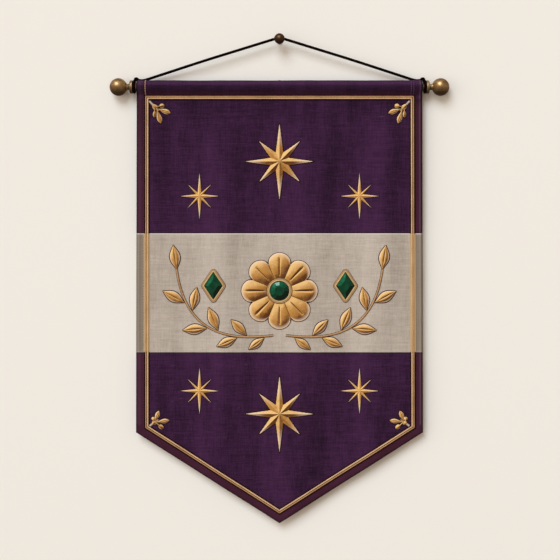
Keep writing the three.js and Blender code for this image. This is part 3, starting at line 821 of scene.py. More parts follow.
class Workbench:
    """The hand tools that shape every piece; a finished piece is turned to metres at the end."""

    # Where the painted light on satin facets and stones comes from, and the lean at which a facet is fully
    # lit or shaded.
    LIGHT_FROM = Vector((-0.55, 0.0, 0.83))
    FULL_LEAN = 0.16

    @staticmethod
    def clear() -> None:
        """Leaves edit mode and lets go of all that is selected."""
        if bpy.context.mode != "OBJECT":
            bpy.ops.object.mode_set(mode="OBJECT")
        bpy.ops.object.select_all(action="DESELECT")

    @staticmethod
    def started(name: str) -> Object:
        """Names the primitive that was just added."""
        piece = bpy.context.active_object
        piece.name = name
        piece.data.name = name
        return piece

    @classmethod
    def pick(cls, *pieces: Object) -> None:
        """Selects these pieces alone, and makes the first one the active one."""
        cls.clear()
        for piece in pieces:
            piece.select_set(True)
        bpy.context.view_layer.objects.active = pieces[0]

    @classmethod
    def edit(cls, piece: Object) -> None:
        """Opens a piece in edit mode, with all of it selected."""
        cls.pick(piece)
        bpy.ops.object.mode_set(mode="EDIT")
        bpy.ops.mesh.select_all(action="SELECT")

    @classmethod
    def weld(cls, piece: Object, fill: bool = False) -> Object:
        """Joins meeting points, closes open ends if asked, and turns all faces outwards.

        Args:
            piece: the piece.
            fill: whether its open ends are closed.

        Returns:
            The piece.
        """
        cls.edit(piece)
        bpy.ops.mesh.remove_doubles(threshold=0.002)
        if fill:
            bpy.ops.mesh.fill_holes(sides=0)
        bpy.ops.mesh.select_all(action="SELECT")
        bpy.ops.mesh.normals_make_consistent(inside=False)
        cls.clear()
        return piece

    @classmethod
    def net(cls, name: str, columns: int, rows: int, rule: Callable[[float, float], Vector]) -> Object:
        """Bends a square net into a shape.

        Args:
            name: the piece's name.
            columns: cells across.
            rows: cells along.
            rule: gives the place for parts across and along, both from 0 to 1.

        Returns:
            The piece.
        """
        cls.clear()
        bpy.ops.mesh.primitive_grid_add(x_subdivisions=columns, y_subdivisions=rows, size=1)
        piece = cls.started(name)
        for vertex in piece.data.vertices:
            vertex.co = rule(vertex.co.x + 0.5, vertex.co.y + 0.5)
        return piece

    @staticmethod
    def cut_map(piece: Object, rule: Callable[[Place, Vector], Place]) -> Object:
        """Lays out the flat cut of a piece, in metres.

        Args:
            piece: the piece, still flat.
            rule: gives the place on the cut, in millimetres, from the net's place and the point.

        Returns:
            The piece.
        """
        layer = piece.data.uv_layers["UVMap"].data
        for loop in piece.data.loops:
            point = piece.data.vertices[loop.vertex_index].co
            across, along = rule(tuple(layer[loop.index].uv), point)
            layer[loop.index].uv = (across * MM, along * MM)
        return piece

    @classmethod
    def backed(cls, piece: Object) -> Object:
        """Closes an open raised shape with a flat back that lies on the cloth.

        Args:
            piece: the raised shape, still flat behind.

        Returns:
            The closed piece.
        """
        cls.edit(piece)
        bpy.ops.mesh.extrude_region_move(TRANSFORM_OT_translate={"value": (0, 20, 0)})
        bpy.ops.object.mode_set(mode="OBJECT")
        for vertex in piece.data.vertices:
            if vertex.select:
                vertex.co.y = 0.0
        return cls.weld(piece)

    @staticmethod
    def stored(piece: Object, name: str, values: Sequence[float], domain: str = "POINT") -> Object:
        """Stores a number at every point or face, for the materials to read."""
        piece.data.attributes.new(name, "FLOAT", domain).data.foreach_set("value", values)
        return piece

    @classmethod
    def with_painted_light(
        cls, piece: Object, rim: Callable[[Vector], float] = lambda point: 0.0, glow: float = 0.0
    ) -> Object:
        """Paints light and shade on each facet by how it leans towards the light, and stores where a shape
        has a bright rim.

        Args:
            piece: the piece, still flat.
            rim: gives the rim's share at a point.
            glow: how much lighter all of it is.

        Returns:
            The piece.
        """
        # Each facet's tone is painted light and shade: lighter as it leans towards LIGHT_FROM, darker as it
        # leans away.
        facet_light = []
        for face in piece.data.polygons:
            lean = Vector((face.normal.x, 0.0, face.normal.z))
            strength = min(lean.length / cls.FULL_LEAN, 1.0)
            lit = lean.normalized().dot(cls.LIGHT_FROM) if lean.length > 0.01 else 0.0
            facet_light.append(0.5 + glow + 0.5 * (1 - glow) * lit * strength)
        cls.stored(piece, "tone", facet_light, "FACE")
        return cls.stored(piece, "rim", [rim(vertex.co) for vertex in piece.data.vertices])

    @classmethod
    def joined(cls, name: str, pieces: Sequence[Object]) -> Object:
        """Joins pieces into one object."""
        cls.pick(*pieces)
        bpy.ops.object.join()
        return cls.started(name)

    @staticmethod
    def draped(piece: Object, gap: float = 0.06) -> Object:
        """Lays a flat piece on the hanging cloth."""
        for vertex in piece.data.vertices:
            vertex.co.y += CLOTH.front(vertex.co.x, vertex.co.z) - gap
        return piece

    @classmethod
    def applied(cls, piece: Object, kind: str, settings: dict[str, object]) -> Object:
        """Adds a modifier and applies it.

        Args:
            piece: the piece.
            kind: the modifier's type.
            settings: what is set on it.

        Returns:
            The piece.
        """
        cls.pick(piece)
        modifier = piece.modifiers.new(kind.lower(), kind)
        for setting, value in settings.items():
            setattr(modifier, setting, value)
        bpy.ops.object.modifier_apply(modifier=modifier.name)
        return piece

    @staticmethod
    def to_metres(piece: Object) -> Object:
        """Scales a finished mesh from millimetres to metres."""
        piece.data.transform(Matrix.Scale(MM, 4))
        piece.data.update()
        return piece

    @classmethod
    def finished(cls, piece: Object, crease: float = THREAD_CREASE) -> Object:
        """Turns a piece to metres and shades it smooth, but for edges sharper than the crease."""
        cls.pick(cls.to_metres(piece))
        bpy.ops.object.shade_smooth_by_angle(angle=math.radians(crease))
        return piece

    @classmethod
    def turned(cls, name: str, profile: Sequence[Place], sides: int) -> Object:
        """Turns a shape about Z, as on a lathe.

        Args:
            name: the piece's name.
            profile: radius and height of each step, from one end to the other.
            sides: faces round it.

        Returns:
            The closed piece.
        """
        cls.clear()
        radius, height = profile[0]
        bpy.ops.mesh.primitive_circle_add(vertices=sides, radius=radius)
        piece = cls.started(name)
        cls.edit(piece)
        bpy.ops.transform.translate(value=(0, 0, height))
        bpy.ops.mesh.edge_face_add()
        for (inner, low), (outer, high) in zip(profile, profile[1:]):
            bpy.ops.mesh.extrude_edges_move(TRANSFORM_OT_translate={"value": (0, 0, high - low)})
            share = outer / inner
            bpy.ops.transform.resize(value=(share, share, 1), center_override=(0, 0, high))
        bpy.ops.mesh.edge_face_add()
        cls.clear()
        return cls.weld(piece)

    @classmethod
    def rope(
        cls,
        name: str,
        route: "Route",
        radius: float,
        twist: "Twist",
        sides: int = 8,
        step: float = 0.9,
    ) -> Object:
        """Lays a twisted rope along a route.

        Args:
            name: the piece's name.
            route: the line that it follows.
            radius: the rope's radius.
            twist: how its strands show.
            sides: faces round it.
            step: distance between its rings.

        Returns:
            The closed rope, with its cut map.
        """
        rows = max(round(route.length / step), 3)
        rings = route.rings(rows)
        turns = max(round(route.length / twist.pitch), 1)

        def place(across: float, along: float) -> Vector:
            """Where the net goes: round each ring, in and out with the strands."""
            middle, side, out = rings[round(along * rows)]
            angle = 2 * math.pi * across
            phase = twist.strands / 2 * angle - 2 * math.pi * turns * along
            reach = radius * (1 - twist.depth * math.sin(phase) ** 2)
            return middle + side * (reach * math.cos(angle)) + out * (reach * twist.height * math.sin(angle))

        piece = cls.net(name, sides, rows, place)
        cls.cut_map(piece, lambda net, _: (net[0] * 2 * math.pi * radius, net[1] * route.length))
        return cls.weld(piece, fill=not route.closed)

    @classmethod
    def trimmed(cls, piece: Object, place: Vector, away: Vector) -> Object:
        """Cuts off all of a piece that lies beyond a plane, and closes the cut.

        Args:
            piece: the piece.
            place: a place on the plane.
            away: the way that is cut off.

        Returns:
            The piece.
        """
        cls.edit(piece)
        bpy.ops.mesh.bisect(plane_co=place, plane_no=away, use_fill=True, clear_outer=True)
        cls.clear()
        return piece

    @classmethod
    def stitch_row(cls, name: str, start: Place, end: Place, stitch: "Stitch") -> Object:
        """Sews a straight row of stitches on flat cloth.

        Args:
            name: the row's name.
            start: where it begins, across and up.
            end: where it ends.
            stitch: the stitch that repeats.

        Returns:
            The row, still flat.
        """
        run = Vector((end[0] - start[0], 0.0, end[1] - start[1]))
        count = max(int(run.length / stitch.pitch), 1)
        cls.clear()
        bpy.ops.mesh.primitive_cube_add(size=1)
        piece = cls.started(name)
        cls.edit(piece)
        bpy.ops.transform.resize(value=(stitch.length, 2 * stitch.rise, stitch.width))
        bpy.ops.mesh.bevel(offset=stitch.width * 0.3, segments=1)
        cls.clear()
        spacing = run.length / count
        cls.applied(piece, "ARRAY", {
            "count": count,
            "use_relative_offset": False,
            "use_constant_offset": True,
            "constant_offset_displace": (spacing, 0, 0),
        })
        heading = math.atan2(run.z, run.x)
        first = Vector((start[0], 0, start[1])) + run.normalized() * (spacing / 2)
        piece.data.transform(Matrix.Translation(first) @ Matrix.Rotation(-heading, 4, "Y"))
        return cls.cut_map(piece, lambda net, point: (point.z, point.x))


@dataclass(frozen=True)
class Stitch:
    """One hand stitch and the distance to the next."""

    length: float
    width: float
    rise: float
    pitch: float


@dataclass(frozen=True)
class Twist:
    """How a rope's strands show: their number, one turn's length, their depth and flatness."""

    strands: int = 2
    pitch: float = 4.0
    depth: float = 0.28
    height: float = 1.0


PLAIN_THREAD = Twist(2, 3.0, 0.2, 0.9)


class Route:
    """A line that a rope follows, on the cloth or free in the air."""

    def __init__(
        self, points: Sequence[Vector], closed: bool = False, facing: Union[Vector, None] = None
    ) -> None:
        """Measures the line.

        Args:
            points: its corners, close together where it bends.
            closed: whether it ends where it began.
            facing: the way its top faces, or nothing where it turns freely.
        """
        self.points = [*points, points[0]] if closed else list(points)
        self.closed = closed
        self.facing = facing
        self.marks = [0.0]
        for before, after in zip(self.points, self.points[1:]):
            self.marks.append(self.marks[-1] + (after - before).length)
        self.length = self.marks[-1]

    def at(self, distance: float) -> Vector:
        """The place at a distance along the line.

        Args:
            distance: the distance; a closed line goes round again.

        Returns:
            The place.
        """
        distance = distance % self.length if self.closed else min(max(distance, 0.0), self.length)
        low, high = 0, len(self.marks) - 1
        while high - low > 1:
            middle = (low + high) // 2
            low, high = (middle, high) if self.marks[middle] <= distance else (low, middle)
        span = self.marks[high] - self.marks[low]
        return self.points[low].lerp(self.points[high], (distance - self.marks[low]) / span)

    def rings(self, rows: int) -> list[tuple[Vector, Vector, Vector]]:
        """Gives the middle and two directions of each ring of a rope.

        Args:
            rows: the number of stretches between rings.

        Returns:
            The middle, sideways and outward direction of every ring.
        """
        step = self.length / rows
        rings = []
        out = self.facing
        for row in range(rows + 1):
            here = self.at(row * step)
            ahead, behind = self.at(row * step + step * 0.7), self.at(row * step - step * 0.7)
            heading = (ahead - behind).normalized()
            if out is None:
                out = heading.orthogonal()
            side = heading.cross(self.facing or out).normalized()
            out = side.cross(heading)
            rings.append((here, side, out))
        return rings

    def raised(self, height: float) -> "Route":
        """The same line, higher above the cloth."""
        lifted = [point + Vector((0, -height, 0)) for point in self.points]
        return Route(lifted[:-1] if self.closed else lifted, self.closed, self.facing)


def flat_route(points: Sequence[Place], closed: bool = False) -> Route:
    """A route drawn on the flat cloth from places across and up."""
    return Route([Vector((x, 0, z)) for x, z in points], closed, FRONT)


def handed_in(piece: Object, slot: Finish, *nodes: str) -> Object:
    """Puts a finished piece on the body and hides the solids that it stands for.

    Args:
        piece: the piece, in metres.
        slot: the piece's finish; not used.
        nodes: the solids that it replaces.

    Returns:
        The piece.
    """
    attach(piece, BODY)
    if nodes:
        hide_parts(*nodes)
    log.info("%s: %d faces", piece.name, len(piece.data.polygons))
    return piece


@dataclass
class Assembly:
    """A part of the pennant that is made at one go, and the finishes that dress it."""

    wardrobe: Wardrobe

    def corded(
        self,
        finish: Finish,
        route: Route,
        radius: float,
        twist: Twist = PLAIN_THREAD,
        sides: int = 6,
        step: float = 1.1,
    ) -> Object:
        """Lays a dressed rope along a route.

        Args:
            finish: its finish.
            route: the line that it follows.
            radius: its radius.
            twist: how its strands show.
            sides: faces round it.
            step: distance between its rings.

        Returns:
            The rope.
        """
        return self.wardrobe.dress(Workbench.rope("cord", route, radius, twist, sides, step), finish)

    def complete(self, piece: Object, finish: Finish, crease: float, *nodes: str) -> Object:
        """Dresses a piece, turns it to metres and hands it in.

        Args:
            piece: the piece, in millimetres.
            finish: its finish.
            crease: edges sharper than this many degrees stay sharp.
            nodes: the solids that it stands for.

        Returns:
            The piece.
        """
        return handed_in(Workbench.finished(self.wardrobe.dress(piece, finish), crease), finish, *nodes)

    @staticmethod
    def sewn_on(
        name: str,
        made: Sequence[Object],
        crease: float,
        finish: Finish,
        node: str,
        middle: Sequence[float] = (0, 0, 0),
    ) -> None:
        """Joins flat pieces, lays them on the cloth and hands them in as one.

        Args:
            name: the new piece's name.
            made: the flat pieces.
            crease: edges sharper than this many degrees stay sharp.
            finish: the piece's finish; not used.
            node: the solid that it stands for.
            middle: where the flat pieces' middle goes.
        """
        piece = Workbench.joined(name, made)
        piece.data.transform(Matrix.Translation(middle))
        handed_in(Workbench.finished(Workbench.draped(piece), crease), finish, node)


@dataclass
class PocketFold:
    """The way of the cloth's face round the rod: up the front, over the top and down behind."""

    radius: float = 10.0
    lean: float = math.acos(8.8 / 12)
    foot: float = -93.0
    seam_bend: Place = (1.2, 0.9)
    round_steps: int = 60
    ripple: float = 0.45
    looseness: float = 0.42
    taut_ends: Place = (4.0, 14.0)
    pucker: float = 0.3
    pucker_pitch: float = 7.3
    puckered: Band = Band(8.0, 6.0)
    pinch: Band = Band(-0.5, 1.2, 0.6)
    # Painted shade on the pocket's lower front, below the rod: its strength, and where it starts and ends.
    rod_shade_depth: float = 0.4
    rod_shade_top: Place = (70.0, 74.5)
    rod_shade_foot: Place = (-85.5, -79.0)

    def __post_init__(self) -> None:
        """Draws the way once."""
        run = (self.radius * math.sin(self.lean) - LAYER) / math.cos(self.lean)
        join = self.radius * math.cos(self.lean) + run * math.sin(self.lean)
        lean = math.degrees(self.lean)
        below, above = self.seam_bend
        corners = [(-LAYER, self.foot - ROD_LEVEL), (-LAYER, -join - below), (-LAYER - above, -join + above)]
        for step in range(self.round_steps + 1):
            angle = math.radians(lerp(-90 - lean, -450 + lean, step / self.round_steps))
            corners.append((self.radius * math.cos(angle), self.radius * math.sin(angle)))
        corners += [(-y, z) for y, z in reversed(corners[:3])]
        self.route = Route([Vector((0, y - ROD_DEPTH, z + ROD_LEVEL)) for y, z in corners])
        self.length = self.route.length

    def place(self, x: float, along: float, lift: float = 0.0) -> Vector:
        """A place on the pocket's face.

        Args:
            x: place across.
            along: distance up the cloth from the pocket's foot.
            lift: height above the cloth.

        Returns:
            The place.
        """
        here = self.route.at(along)
        heading = (self.route.at(along + 0.4) - self.route.at(along - 0.4)).normalized()
        outward = Vector((0, -heading.z, heading.y))
        slack = smooth_step(along, *self.taut_ends) * smooth_step(self.length - along, *self.taut_ends)
        loose = self.ripple * noise.noise(Vector((x / 34, along / 16, 2.2))) + self.looseness
        wander = 4 * noise.noise(Vector((x / 50, 3, 1)))
        pucker = self.pucker * math.sin(2 * math.pi * x / self.pucker_pitch + wander)
        rise = lift + slack * (loose + self.pinch.at(x)) + self.puckered.at(along) * pucker
        return Vector((x, here.y, here.z)) + outward * rise

    def rod_shade(self, point: Vector) -> float:
        """How much painted shade a place on the pocket's front has, below the rod's bulge."""
        if point.y > -ROD_DEPTH:
            return 0.0
        return self.rod_shade_depth * smooth_step(-point.z, *self.rod_shade_top) * smooth_step(point.z, *self.rod_shade_foot)


@dataclass
class ClothPanels(Assembly):
    """The three linen panels, hemmed, seamed and folded round the rod."""

    pocket: PocketFold = field(default_factory=PocketFold)
    columns: int = 184
    hem_columns: int = 14
    hem_share: float = 0.085
    hem_softness: float = 0.6
    flat_step: float = 2.5
    pocket_step: float = 1.5
    seam_flap: float = 6.0
    roll_steps: tuple[float, ...] = (0.0, 0.35, 0.8, 1.5)
    hem_stitch: Stitch = Stitch(2.4, 0.5, 0.3, 4.2)
    seam_stitch: Stitch = Stitch(2.0, 0.45, 0.28, 3.4)
    tack: Stitch = Stitch(2.7, 1.5, 0.6, 3.0)
    tack_rows: tuple[tuple[float, Finish], ...] = (
        (-210.9, Finish.GOLD_BRAID), (207.1, Finish.PURPLE_THREAD), (210.9, Finish.PURPLE_THREAD),
    )
    hem_line: float = 10.9
    seam_line: float = 2.2
    seam_ends: float = 8.0
    lower_rows: int = 110
    flap_gap: float = 0.5
    tacked: float = 0.62
    # How dark the cloth is along its edge: on the right side and the point, and on the left side.
    edge_dark_right_and_foot: float = 0.95
    edge_dark_left: float = 0.45
    pocket_softness: float = 3.0
    hem_on_pocket: float = 0.15
    # Painted light and shade on the cloth: fold slopes lit and shaded, a painted highlight on the pocket's
    # top, painted shade below the rod, and lighter cloth near the pale band.
    fold_shading: float = 1.3
    lighter_near_band: Band = Band(0.0, 48.0, 0.2)
    sunlit: Band = Band(-70.0, 3.5, 0.6)
    shade_below_rod: Band = Band(-93.0, 32.0, 0.3)
    pocket_glow: Band = Band(-87.0, 3.5, 0.7)
    # Darker lines along the seams, the left pale hem and a tack row, and painted shade at the top of the hems
    # below the pocket.
    seam_dark: Band = Band(0.0, 1.6, 0.5)
    pale_hem_dark: Band = Band(5.9, 1.3, 0.3)
    left_shade: Band = Band(-93.0, 75.0, 0.26)
    right_shade: Band = Band(-88.0, 12.0, 0.7)
    tack_dark: Band = Band(2.1, 0.9, 0.45)
    # Painted highlights on the hem ridges, and on the rolled seams of the pale band.
    left_ridge: Band = Band(5.4, 2.6, 0.08)
    right_ridge: Band = Band(4.2, 1.0, 0.32)
    upper_seam_highlight: Band = Band(0.8, 1.2, 0.6)
    lower_seam_highlight: Band = Band(1.0, 1.4, 0.2)

    def build(self) -> None:
        """Makes the panels and the stitches on them."""
        self.upper_panel()
        self.band_panel()
        self.lower_panel()
        self.stitches()

    def column(self, part: float) -> float:
        """Place across as a share of the half width; the columns are closer together at the hems."""
        share = 2 * part - 1
        hem = 2 * self.hem_columns / self.columns
        if abs(share) > 1 - hem:
            return math.copysign(1 - (1 - abs(share)) / hem * self.hem_share, share)
        return share / (1 - hem) * (1 - self.hem_share)

    def upper_panel(self) -> None:
        """Makes the upper panel and its pocket from one length of cloth."""
        flat_rows = round((self.pocket.foot - UPPER_SEAM) / self.flat_step)
        pocket_rows = round(self.pocket.length / self.pocket_step)
        rows = flat_rows + pocket_rows

        def place(across: float, along: float) -> Vector:
            """Where the net goes: up the flat cloth, then round the rod."""
            row = round(along * rows)
            if row > flat_rows:
                x = self.column(across) * CLOTH_HALF_WIDTH
                return self.pocket.place(x, (row - flat_rows) / pocket_rows * self.pocket.length)
            z = lerp(UPPER_SEAM, self.pocket.foot, row / flat_rows)
            x = self.column(across) * CLOTH.half_width(z)
            return Vector((x, CLOTH.front(x, z), z))

        def cut(net: Place, point: Vector) -> Place:
            """The place on the cut, with the pocket laid flat."""
            row = round(net[1] * rows)
            above = max(row - flat_rows, 0) / pocket_rows * self.pocket.length
            level = lerp(UPPER_SEAM, self.pocket.foot, min(row, flat_rows) / flat_rows)
            return point.x, level + above

        piece = Workbench.net("upper_linen", self.columns, rows, place)
        Workbench.cut_map(piece, cut)
        length = (self.pocket.foot - UPPER_SEAM + self.pocket.length) * MM
        self.hem(piece, Finish.PURPLE_LINEN, "upper_panel", length, ["hanging_dowel"])

    def band_panel(self) -> None:
        """Makes the pale middle band, with a flap behind each seam."""
        top, bottom = UPPER_SEAM - SEAM_GAP, LOWER_SEAM + SEAM_GAP
        rows = round((top - bottom) / self.flat_step)
        behind = LAYER + self.flap_gap
        flap = [(self.seam_flap, behind), (self.seam_flap / 2, behind), (SEAM_GAP, behind)]
        levels = [(bottom - up, back) for up, back in flap]
        levels += [(bottom + step, 0.0) for step in self.roll_steps]
        levels += [(lerp(bottom, top, row / rows), 0.0) for row in range(1, rows)]
        levels += [(top - step, 0.0) for step in reversed(self.roll_steps)]
        levels += [(top + up, back) for up, back in reversed(flap)]

        def place(across: float, along: float) -> Vector:
            """Where the net goes: the flap behind the lower seam, the front, the upper flap."""
            z, back = levels[round(along * (len(levels) - 1))]
            x = self.column(across) * CLOTH.half_width(z)
            return Vector((x, CLOTH.front(x, min(max(z, bottom), top)) + back, z))

        piece = Workbench.net("band_linen", self.columns, len(levels) - 1, place)
        Workbench.cut_map(piece, lambda net, point: (point.x, point.z))
        length = (top - bottom + 2 * self.seam_flap) * MM
        self.hem(piece, Finish.PALE_LINEN, "band_panel", length, ["upper_linen"])

    def lower_panel(self) -> None:
        """Makes the lower panel, which narrows to the point."""

        def place(across: float, along: float) -> Vector:
            """Where the net goes, from the point's edge up to the seam."""
            x = self.column(across) * (CLOTH_HALF_WIDTH + CLOTH_FLARE)
            z = lerp(CLOTH.lower_edge(x), LOWER_SEAM, along)
            x *= CLOTH.half_width(z) / (CLOTH_HALF_WIDTH + CLOTH_FLARE)
            return Vector((x, CLOTH.front(x, z), z))

        piece = Workbench.net("lower_linen", self.columns, self.lower_rows, place)
        Workbench.cut_map(piece, lambda net, point: (point.x, point.z))
        length = (LOWER_SEAM - POINT) * MM
        area = (LOWER_SEAM - (SIDE_CORNER + POINT) / 2) * 2 * (CLOTH_HALF_WIDTH + CLOTH_FLARE) * MM * MM
        self.hem(piece, Finish.PURPLE_LINEN, "lower_panel", length, ["band_linen"], area)

    def hem(
        self,
        piece: Object,
        finish: Finish,
        node: str,
        length: float,
        holders: list[str],
        area: Union[float, None] = None,
    ) -> None:
        """Args:
            piece: the panel's face.
            finish: its linen.
            node: the solid that it stands for.
            length: the cut's length in metres; not used.
            holders: what holds it; not used.
            area: the cut's area in square metres where it isn't a rectangle; not used.
        """
        mesh = piece.data
        double = piece.vertex_groups.new(name="double")
        lit_and_marked = []
        for vertex in mesh.vertices:
            inset = CLOTH.inset(vertex.co.x, vertex.co.z)
            hemmed = 1 - smooth_step(inset, HEM_WIDTH - self.hem_softness, HEM_WIDTH + self.hem_softness)
            double.add([vertex.index], hemmed, "REPLACE")
            lit_and_marked.append(self.light_and_marks(vertex.co, inset, hemmed, finish))
        for name, values in zip(("hem", "edge", "painted_light", "ridge"), zip(*lit_and_marked)):
            Workbench.stored(piece, name, values)
        Workbench.edit(piece)
        bpy.ops.mesh.normals_make_consistent(inside=False)
        Workbench.clear()
        middle = mesh.polygons[len(mesh.polygons) // 3]
        if middle.normal.y > 0:
            mesh.flip_normals()
        Workbench.applied(piece, "SOLIDIFY", {
            "thickness": HEM_THICKNESS,
            "offset": -1.0,
            "vertex_group": "double",
            "thickness_vertex_group": LAYER / HEM_THICKNESS,
        })
        self.complete(piece, finish, ROPE_CREASE, node)
        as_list(holders)

    def light_and_marks(self, point: Vector, inset: float, hemmed: float, finish: Finish) -> tuple[float, ...]:
        """How the cloth is coloured at a place: its hem, its darker lines, and painted light, shade and
        highlights.

        Args:
            point: the place.
            inset: its distance from the cloth's edge.
            hemmed: 1 on the hem and 0 beside it.
            finish: the panel's linen.

        Returns:
            The shares of hem colour, of darkening that is partly painted shade, of painted light and shade,
            and of painted highlight.
        """
        x, z = point.x, point.z
        purple = finish is Finish.PURPLE_LINEN
        at_foot = (z - CLOTH.lower_edge(x)) / V_STRETCH < HEM_WIDTH
        foot = self.pocket.foot
        in_pocket = smooth_step(z, foot - self.pocket_softness, foot + self.pocket_softness)
        hem = max(hemmed * lerp(1, self.hem_on_pocket, in_pocket), self.pocket_glow.at(z) * (1 - hemmed))

        # Darker along the edge, most on the right side, at the point and round the pocket; darker along the
        # seams, the left pale hem and beside a tack row; painted shade at the top of the hems and on the
        # pocket's lower front.
        edge_darkness = max(self.edge_dark_right_and_foot if x > 0 or at_foot else self.edge_dark_left, in_pocket)
        along_edge = edge_darkness * Band(0.0, 1.6 + 0.6 * in_pocket).at(max(inset, 0.0))
        seamed = 0.0
        if purple:
            seamed = self.seam_dark.at(min(abs(z - UPPER_SEAM), abs(z - LOWER_SEAM)))
        elif x < 0:
            seamed = self.pale_hem_dark.at(inset)
        shaded = hemmed * (1 - in_pocket) * (self.left_shade if x < 0 else self.right_shade).at(z)
        beside_tack = in_pocket * self.tack_dark.at(abs(x - self.tack_rows[0][0]))
        darkening = max(along_edge, self.pocket.rod_shade(point), seamed, shaded, beside_tack)

        # Painted light and shade: the fold slopes lit on one side and shaded on the other, a highlight on the
        # pocket's top, shade below the rod, and lighter cloth near the pale band.
        slope = CLOTH.fold_rise(x + 2, z) - CLOTH.fold_rise(x - 2, z)
        lighter_near_band = self.lighter_near_band.at(max(z - UPPER_SEAM, LOWER_SEAM - z, 0.0))
        lit = in_pocket * self.sunlit.at(z) - (1 - in_pocket) * self.shade_below_rod.at(z)
        painted_light = min(max(0.5 + self.fold_shading * slope + lighter_near_band + lit, 0.0), 1.2)

        # Painted highlights on the hem ridges, and on the rolled seams of the pale band.
        ridge = 0.0
        if not at_foot:
            ridge = (self.right_ridge if x > 0 else self.left_ridge).at(inset) * (1.0 if purple else 0.5)
        if not purple:
            ridge += self.upper_seam_highlight.at(UPPER_SEAM - z) + self.lower_seam_highlight.at(z - LOWER_SEAM)
        return hem, darkening, painted_light, min(ridge, 1.0)

    def stitches(self) -> None:
        """Sews the hems and seams tone on tone, and the tacking rows over the pocket."""
        line = self.hem_line
        foot = CLOTH.lower_edge(CLOTH_HALF_WIDTH - line, line)
        purple, pale = [], []
        for _, side in SIDES:
            x = side * (CLOTH_HALF_WIDTH - line)
            tip = (side * 1.5, CLOTH.lower_edge(1.5, line))
            for rows, start, end in (
                (purple, (x, -96), (x, UPPER_SEAM + 1)),
                (pale, (x, UPPER_SEAM - 2), (x, LOWER_SEAM + 2)),
                (purple, (x, LOWER_SEAM - 1), (x, foot)),
                (purple, (x, foot), tip),
            ):
                rows.append(Workbench.stitch_row("hem_row", start, end, self.hem_stitch))
        ends = CLOTH_HALF_WIDTH - HEM_WIDTH - self.seam_ends
        for seam in (UPPER_SEAM + self.seam_line, LOWER_SEAM - self.seam_line):
            purple.append(Workbench.stitch_row("seam_row", (-ends, seam), (ends, seam), self.seam_stitch))
        for name, thread, linen, rows in (
            ("purple_stitches", Finish.PURPLE_THREAD, Finish.PURPLE_LINEN, purple),
            ("pale_stitches", Finish.PALE_THREAD, Finish.PALE_LINEN, pale),
        ):
            piece = Workbench.draped(Workbench.joined(name, rows), -0.05)
            handed_in(Workbench.finished(self.wardrobe.dress(piece, thread)), linen)
        self.tacking()

    def tacking(self) -> None:
        """Sews rows over the pocket, in line with the braid below."""
        made = []
        for x, finish in self.tack_rows:
            row = Workbench.stitch_row("tack_row", (x, 4.0), (x, self.pocket.length * self.tacked), self.tack)
            for vertex in row.data.vertices:
                vertex.co = self.pocket.place(vertex.co.x, vertex.co.z, -vertex.co.y)
            made.append(self.wardrobe.dress(row, finish))
        handed_in(Workbench.finished(Workbench.joined("pocket_stitches", made)), Finish.GOLD_BRAID)


@dataclass(frozen=True)
class BraidCord:
    """One cord of the braid, at a part of the way from its outer to its inner edge."""

    part: float
    radius: float
    pitch: float
    finish: Finish


